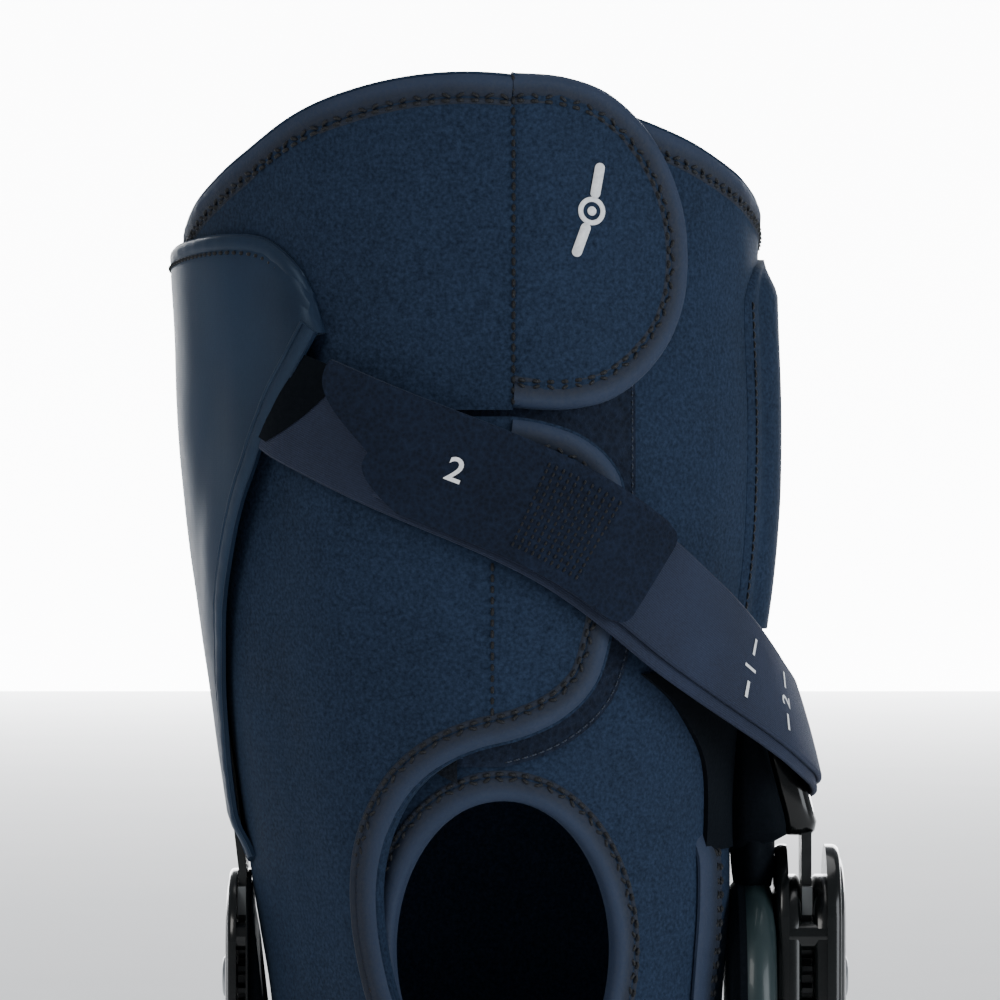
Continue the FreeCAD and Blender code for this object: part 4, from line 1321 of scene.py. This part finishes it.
def tab(half, side):
    """Hook tab: a peeling end with two lobes, and a base sewn through a grid."""
    extra = 2 * (STRAP + STRAP_GAP)
    per = degrees_per_mm(0, side)
    half_w = TAB_WIDTH / 2
    parts = []
    for name, first in ((half + "_strap_tab", True), (half + "_strap_tab_base", False)):
        verts = []
        uvs = []
        high, wide = (26, 29) if first else (22, 29)
        grid = []
        for j in range(wide):
            v = 1 - 2 * j / (wide - 1)
            row = []
            for i in range(high):
                t = i / (high - 1)
                if first:
                    start = TAB_NOTCH + tab_end(v) * per
                    angle = mix(start, TAB_FOLD, t)
                else:
                    corner = 4.0 * (1 - math.sqrt(max(0.0, 1 - max(0.0, (abs(v) - 0.7) / 0.3)**2)))
                    angle = mix(TAB_FOLD, TAB_FINISH - corner * per, t)
                row.append((angle, v * side))
            grid.append(row)
        for level in (1, 0):
            for row in grid:
                for angle, v in row:
                    rounding = 0.5 * max(0.0, (abs(v) - 0.9) / 0.1)**2
                    height = (TAB - rounding) if level else 0.0 + rounding * 0.4
                    height -= 0.35 * v * v
                    verts.append(strap_point(angle, v * half_w, height, side, extra))
                    uvs.append((angle * 0.12, v * 0.14))
        parts.append(closed_grid(name, verts, wide, high, TAB_CLOTH, uvs))
    return parts


def tab_grid(half, side):
    """Grid of short stitches that holds the tab to the strap."""
    extra = 2 * (STRAP + STRAP_GAP)
    per = degrees_per_mm(12, side)
    verts = []
    faces = []
    for i in range(11):
        angle = 8.6 + i * 1.75 * per
        for j in range(13):
            offset = (j - 6) * 1.72
            here = strap_point(angle, offset, TAB - 0.02, side, extra)
            _, _, across, normal = strap_frame(angle, extra, side)
            bead(verts, faces, here, across, normal, 1.25 * MM, 0.3 * MM)
    return make(half + "_tab_grid", verts, faces, THREAD)


def figure_on_strap(name, text, angle, offset, size, across_way, side, extra, height):
    """A printed figure laid on the strap, reading along it or across it."""
    curve = bpy.data.curves.new(name, "FONT")
    curve.body = text
    curve.size = size * 1.38
    curve.align_x = "CENTER"
    curve.align_y = "CENTER"
    curve.offset = size * 0.018
    curve.resolution_u = 4
    carrier = bpy.data.objects.new(name, curve)
    bpy.context.scene.collection.objects.link(carrier)
    bpy.context.view_layer.update()
    flat = bpy.data.meshes.new_from_object(carrier)
    bpy.data.objects.remove(carrier)
    per = degrees_per_mm(angle, side)
    verts = []
    for vertex in flat.vertices:
        x, y = vertex.co.x, vertex.co.y
        if across_way:
            x, y = -y, x
        verts.append(strap_point(angle + x * per, offset + y * side, height, side, extra))
    faces = [list(p.vertices) for p in flat.polygons]
    return make(name, verts, faces, INK)


def prints(half, side):
    top = STRAP + STRAP_GAP
    marks = [
        figure_on_strap("figure", "2" if side > 0 else "1", -4.0, 0.5, 6.0, False, side,
                        2 * (STRAP + STRAP_GAP), TAB + 0.08)]
    tab_print = marks[0]
    tab_print.name = half + "_tab_print"
    strap_marks = []
    for text, angle in (("1", 56.5), ("2", 68.5)):
        strap_marks.append(figure_on_strap("mark", text, angle, -0.5, 4.6, True, side, top,
                                           STRAP + 0.1))
        for offset in (-6.2, 5.4):
            verts = []
            per = degrees_per_mm(angle, side)
            for dx, dy in ((-0.5, -2.2), (0.5, -2.2), (0.5, 2.2), (-0.5, 2.2)):
                verts.append(strap_point(angle + dx * per, offset + dy, STRAP + 0.1, side, top))
            strap_marks.append(make("dash", verts, [[0, 1, 2, 3]], INK))
    return tab_print, join(half + "_strap_print", strap_marks)


def painted_strap_shade(half, side):
    """Black sheet laid on the strap where it comes out from under the side cover: painted shade for the shadow
    under the cover's lip.
    """
    verts = []
    wide, high = 13, 12
    for level in (1.95, 1.7):
        for j in range(wide):
            v = 1 - 2 * j / (wide - 1)
            finish = mix(-36.5, -27.0, (v + 1) / 2) + 1.5 * (1 - v * v)
            for i in range(high):
                angle = mix(STRAP_START, finish, i / (high - 1))
                verts.append(strap_point(angle, v * 12.3 * side - 1.5 * side * (1 - i / 11), level,
                                         side, 0.0))
    return closed_grid(half + "_strap_painted_shade", verts, wide, high, BOOT)


def strap_fold(half, side):
    """The strap's turn round the ring behind the medial bar."""
    sections = []
    here, along, across, normal = strap_frame(STRAP_END, 0, side)
    radius = STRAP + STRAP_GAP / 2
    middle = here + normal * (radius * MM)
    for k in range(13):
        turn = math.pi * k / 12
        loop = []
        for depth in (radius - STRAP, radius):
            row = []
            for share in (-1, -0.5, 0, 0.5, 1):
                row.append(middle + along * (math.sin(turn) * (depth + 1.6) * MM)
                           - normal * (math.cos(turn) * depth * MM)
                           + across * (share * STRAP_WIDTH / 2 * MM))
            loop += row if depth < radius else row[::-1]
        sections.append(loop)
    return loft(half + "_strap_fold", sections, WEB, False, None, 70.0)


# ---- hinge covers ----
def pill(half_width, half_length, count=72):
    """Outline of a rounded bar in y and z."""
    reach = half_length - half_width
    points = []
    for k in range(count):
        turn = 2 * math.pi * k / count
        y = half_width * math.cos(turn)
        z = half_width * math.sin(turn)
        points.append((y, z + math.copysign(reach, z) if abs(z) > 1e-6 else 0.0))
    return points


def shell(name, low, high, outward, dome, material, waist=0.0):
    """Domed cover inside a CAD cover's box, with a rolled rim and a raised middle."""
    half_width = (high.y - low.y) / 2 / MM
    half_length = (high.z - low.z) / 2 / MM
    near = low.x if outward > 0 else high.x
    thick = (high.x - low.x)
    rings = [(1.0, 0.0), (1.0, 0.55), (0.985, 0.8), (0.955, 0.95), (0.91, 1.0), (0.88, 0.94),
             (0.85, 0.94), (0.81, 1.0 + 0.3 * dome), (0.7, 1.0 + 0.62 * dome),
             (0.5, 1.0 + 0.86 * dome), (0.28, 1.0 + 0.97 * dome), (0.1, 1.0 + dome)]
    sections = []
    reach = half_length - half_width
    for share, rise in rings:
        loop = []
        for y, z in pill(half_width * share, reach + half_width * share):
            squeeze = 1.0 - waist * math.exp(-(z / 12.0)**2)
            loop.append(Vector((near + outward * thick * rise, y * squeeze * MM, z * MM)))
        sections.append(loop)
    return loft(name, sections, material, False, None, 50.0)


def rivet(name, x, y, z, outward, radius, rise, material, parts):
    """Domed rivet head with a small well."""
    rings = [(1.0, 0.0), (1.0, 0.35), (0.93, 0.7), (0.78, 0.95), (0.5, 1.0), (0.42, 0.72),
             (0.3, 0.6), (0.05, 0.6)]
    sections = [disc(x + outward * rise * high, y, z, radius * share, 16)
                for share, high in rings]
    parts.append(loft(name, sections, material, False, None, 40.0))


def boss(name, near, far, half_width, half_length, material):
    """Solid core behind a cover: it fills the space up to the bars, short of the ends."""
    sections = []
    for share, shrink in ((0.0, 0.0), (0.7, 0.0), (0.92, 0.6), (1.0, 1.6)):
        x = mix(near, far, share)
        sections.append([Vector((x, y * MM, z * MM))
                         for y, z in pill(half_width - shrink, half_length - shrink)])
    return loft(name, sections, material, False, None, 50.0)


def hinge_looks(name, outward, body, dome, core):
    low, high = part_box(name + "_outer_cover")
    inner_low, inner_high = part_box(name + "_inner_cover")
    half_length = (high.z - low.z) / 2 / MM
    outer = [shell(name + "_outer_shell", low, high, outward, dome, GLOSS, 0.06)]
    inner = [shell(name + "_inner_shell", inner_low, inner_high, -outward, 0.15, GLOSS, 0.06)]
    if core:
        shape = (CORE_HALF_WIDTH, half_length - 7.5, GLOSS)
        inside = low.x if outward > 0 else high.x
        outer.append(boss("core", inside, inside - outward * CORE_DEPTH * MM, *shape))
        inside = inner_high.x if outward > 0 else inner_low.x
        inner.append(boss("core", inside, inside + outward * CORE_DEPTH * MM, *shape))
    put(join(name + "_outer_shell", outer), body, (name + "_outer_cover",))
    put(join(name + "_inner_shell", inner), body, (name + "_inner_cover",))
    outside = high.x if outward > 0 else low.x
    thick = high.x - low.x
    heads = []
    for joint in frame["joints"]:
        if joint["name"].startswith("medial"):
            rivet(name + "_head", outside + outward * thick * dome * 0.75, 0.0,
                  joint["pos_m"][2], outward, RIVET_RADIUS * MM, RIVET_RISE * MM, STEEL,
                  heads)
    put(join(name + "_rivet_heads", heads), body)


def condyle():
    """Soft domed pad at the inner side of the knee, with a rolled rim."""
    low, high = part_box("medial_condyle_pad")
    radius = (high.z - low.z) / 2
    centre_z = (high.z + low.z) / 2
    thick = high.x - low.x
    rings = [(0.02, 0.16), (0.3, 0.12), (0.6, 0.06), (0.82, 0.03), (0.93, 0.1), (0.985, 0.28),
             (1.0, 0.5), (0.985, 0.72), (0.93, 0.9), (0.84, 0.97), (0.8, 0.9), (0.76, 0.88),
             (0.6, 0.96), (0.3, 1.0), (0.02, 1.0)]
    sections = [disc(low.x + thick * depth, 0.0, centre_z, radius * share, 32)
                for share, depth in rings]
    foam_rings = ((0.98, 3.5), (0.98, 1.0), (0.93, -0.3), (0.8, -0.9), (0.5, -1.6), (0.02, -2.0))
    foam = [disc(low.x + depth * MM, 0.0, centre_z, radius * share, 32)
            for share, depth in foam_rings]
    pad = join("condyle_pad", [loft("condyle_pad", sections, PAD, False, None, 50.0),
                               loft("condyle_foam", foam, BOOT, False, None, 50.0)])
    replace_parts(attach(pad, "medial_hinge"), "medial_condyle_pad")


def lateral_foam():
    """Black foam between the lateral hinge and the sleeve."""
    low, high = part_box("lateral_inner_cover")
    half_length = (high.z - low.z) / 2 / MM - 3.0
    sections = []
    for share, shrink in ((0.0, 0.0), (0.6, 0.0), (0.9, 0.5), (1.0, 1.6)):
        loop = []
        for y, z in pill(16.0 - shrink, half_length - shrink):
            skin = side_x(z, PANEL + 1.3, -1)
            loop.append(Vector((mix(high.x / MM, max(skin, high.x / MM + 0.3), share), y, z)) * MM)
        sections.append(loop)
    put(loft("lateral_foam", sections, BOOT, False, None, 50.0), "lateral_hinge")


# ---- putting the pieces on their bodies ----
def across_knee(piece, side):
    """Fabric from one half, with its placement baked into the mesh."""
    if side > 0:
        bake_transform(piece)
    else:
        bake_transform(piece)
    return piece


def put(piece, body=None, nodes=()):
    if body:
        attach(piece, body)
    if nodes:
        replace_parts(piece, *nodes)
    return piece


def put_bent(piece, side, nodes=()):
    return put(across_knee(piece, side), None, nodes)


def half_looks(half, side):
    put_bent(lateral_wrap(half, side), side,
             (half + "_lateral_panel", half + "_front_panel", "knee_lateral_web"))
    put_bent(medial_panel(half, side), side,
             (half + "_medial_panel", "knee_medial_web"))
    put_bent(back_panel(half, side), side,
             (half + "_rear_panel", "popliteal_panel"))
    edge = free_edge(side)
    line = edge if side > 0 else edge[::-1]
    put_bent(taped_edge(half + "_tongue_tape", line, front_top, front_bottom), side,
             (half + "_front_binding",))
    hooks_line = resample(on_front(smooth(TONGUE_EDGE), side), 4.0)
    spine = [(angle_at(-8, z), z) for _, z in hooks_line]
    hooks = d_sheet(half + "_tongue_hooks", spine, shifted(hooks_line, side * TAPE_WIDTH),
                    flat_layer(HOOK_TOP), flat_layer(HOOK_BASE), HOOKS, 8)
    put_bent(hooks, side, (half + "_front_hook",))
    first, second = rim_tape(half, side)
    put(first, half, (half + "_rim_binding",))
    put(second, half)
    sheet, band, hook_patch, seam = flap(half, side)
    put(sheet, half + "_flap", (half + "_flap",))
    put(band, half + "_flap", (half + "_flap_binding",))
    put(hook_patch, half + "_flap", (half + "_flap_hook",))
    put(seam, half)
    if side > 0:
        put(flap_mark(half, side), half + "_flap")
    put(loop_patch(half, side), half, (half + "_loop_patch",))
    put_bent(seam_lines(half, side), side)
    put(front_seam(half, side), half)
    put_bent(side_cover(half, side), side, (half + "_lateral_cover",))
    put(pocket(half, side), half, (half + "_medial_pocket",))
    put(boot(half, side), half)
    put_bent(boot_painted_shade(half, side), side)
    put(bar_cap(half, side), half)
    gusset = neck(half, side)
    if side > 0:
        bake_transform(gusset)
    else:
        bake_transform(gusset)
    put(gusset)
    put_bent(knee_band(half, side), side)
    put_bent(patella_tape(side), side, ("patella_binding",))

    lower = strap_band(half + "_strap_lower_band", STRAP_START, STRAP_END, 0, side,
                       STRAP_WIDTH, STRAP, WEB, 3.0)
    put(lower, half, (half + "_strap_lower",))
    upper = strap_band(half + "_strap_upper_band", TAB_START + 12, STRAP_END,
                       STRAP + STRAP_GAP, side, STRAP_WIDTH, STRAP, WEB)
    put(upper, half, (half + "_strap_upper",))
    put(strap_fold(half, side), half)
    put(painted_strap_shade(half, side), half)
    end, base = tab(half, side)
    put(end, half + "_strap_tab", (half + "_strap_tab",))
    put(base, half, (half + "_strap_tab_base",))
    put(tab_grid(half, side), half)
    tab_print, strap_print = prints(half, side)
    put(tab_print, half + "_strap_tab")
    put(strap_print, half)


for half_name, half_side in (("thigh", 1), ("calf", -1)):
    half_looks(half_name, half_side)
hinge_looks("medial", 1, "medial_hinge", 0.5, True)
hinge_looks("lateral", -1, "lateral_hinge", 0.45, False)
condyle()
lateral_foam()

slots = {s["node"]: s["material_slot"] for s in frame["record"]["subparts"]}
for node, obj in frame["nodes"].items():
    obj.data.materials.clear()
    obj.data.materials.append(SLOT_MATERIALS[slots[node]])

# ---- floor, light and camera ----
FLOOR_Z = CAD_BOX[0][2] - 0.004


def studio():
    size = 9.0
    floor = make("floor", [(-size, -size, FLOOR_Z), (size, -size, FLOOR_Z), (size, size, FLOOR_Z),
                           (-size, size, FLOOR_Z)], [[0, 1, 2, 3]], floor_material())
    wide, high = 3.9, 4.4
    wall = make("backdrop", [(-wide, size, FLOOR_Z), (wide, size, FLOOR_Z), (wide, size, high),
                             (-wide, size, high)], [[0, 1, 2, 3]], backdrop_material())
    world = bpy.data.worlds.new("studio")
    bpy.context.scene.world = world
    world.use_nodes = True
    world.node_tree.nodes["Background"].inputs[0].default_value = (0.86, 0.92, 1.0, 1)
    world.node_tree.nodes["Background"].inputs[1].default_value = 0.3
    for name, place, power, size, tint in (
            ("key", (-1.2, -1.7, 1.2), 17, 0.9, (1.0, 0.98, 0.95)),
            ("fill", (1.6, -1.1, 0.4), 24, 1.2, (0.9, 0.95, 1.0)),
            ("top", (0.2, 0.2, 1.9), 10, 1.2, (1.0, 1.0, 1.0))):
        light = bpy.data.lights.new(name, "AREA")
        light.energy = power
        light.size = size
        light.color = tint
        lamp = bpy.data.objects.new(name, light)
        lamp.location = place
        aim = Vector((0, 0, 0.03)) - Vector(place)
        lamp.rotation_euler = aim.to_track_quat("-Z", "Y").to_euler()
        bpy.context.scene.collection.objects.link(lamp)


def backdrop_material():
    s = Shader("backdrop")
    cloud = s.noise(s.place(), 0.6, 2.0)
    s.set(Base_Color=(0.8, 0.8, 0.8, 1), Roughness=0.9,
          Emission_Color=s.ramp(cloud, [(0.2, (0.97, 0.98, 1.0, 1)), (0.8, (1, 1, 1, 1))]),
          Emission_Strength=11.0)
    return s.material


def floor_material():
    s = Shader("floor")
    grain = s.noise(s.place(), 3.0, 3.0)
    s.set(Base_Color=s.ramp(grain, [(0.3, (0.86, 0.87, 0.88, 1)), (0.7, (0.9, 0.9, 0.91, 1))]),
          Roughness=0.9)
    return s.material


def camera():
    data = bpy.data.cameras.new("camera")
    data.sensor_width = 36.0
    data.lens = 230.4
    data.clip_end = 50.0
    obj = bpy.data.objects.new("camera", data)
    obj.location = (0.0025, -1.6, 0.13)
    obj.rotation_euler = (math.radians(90), 0, 0)
    bpy.context.scene.collection.objects.link(obj)
    bpy.context.scene.camera = obj


camera()
studio()
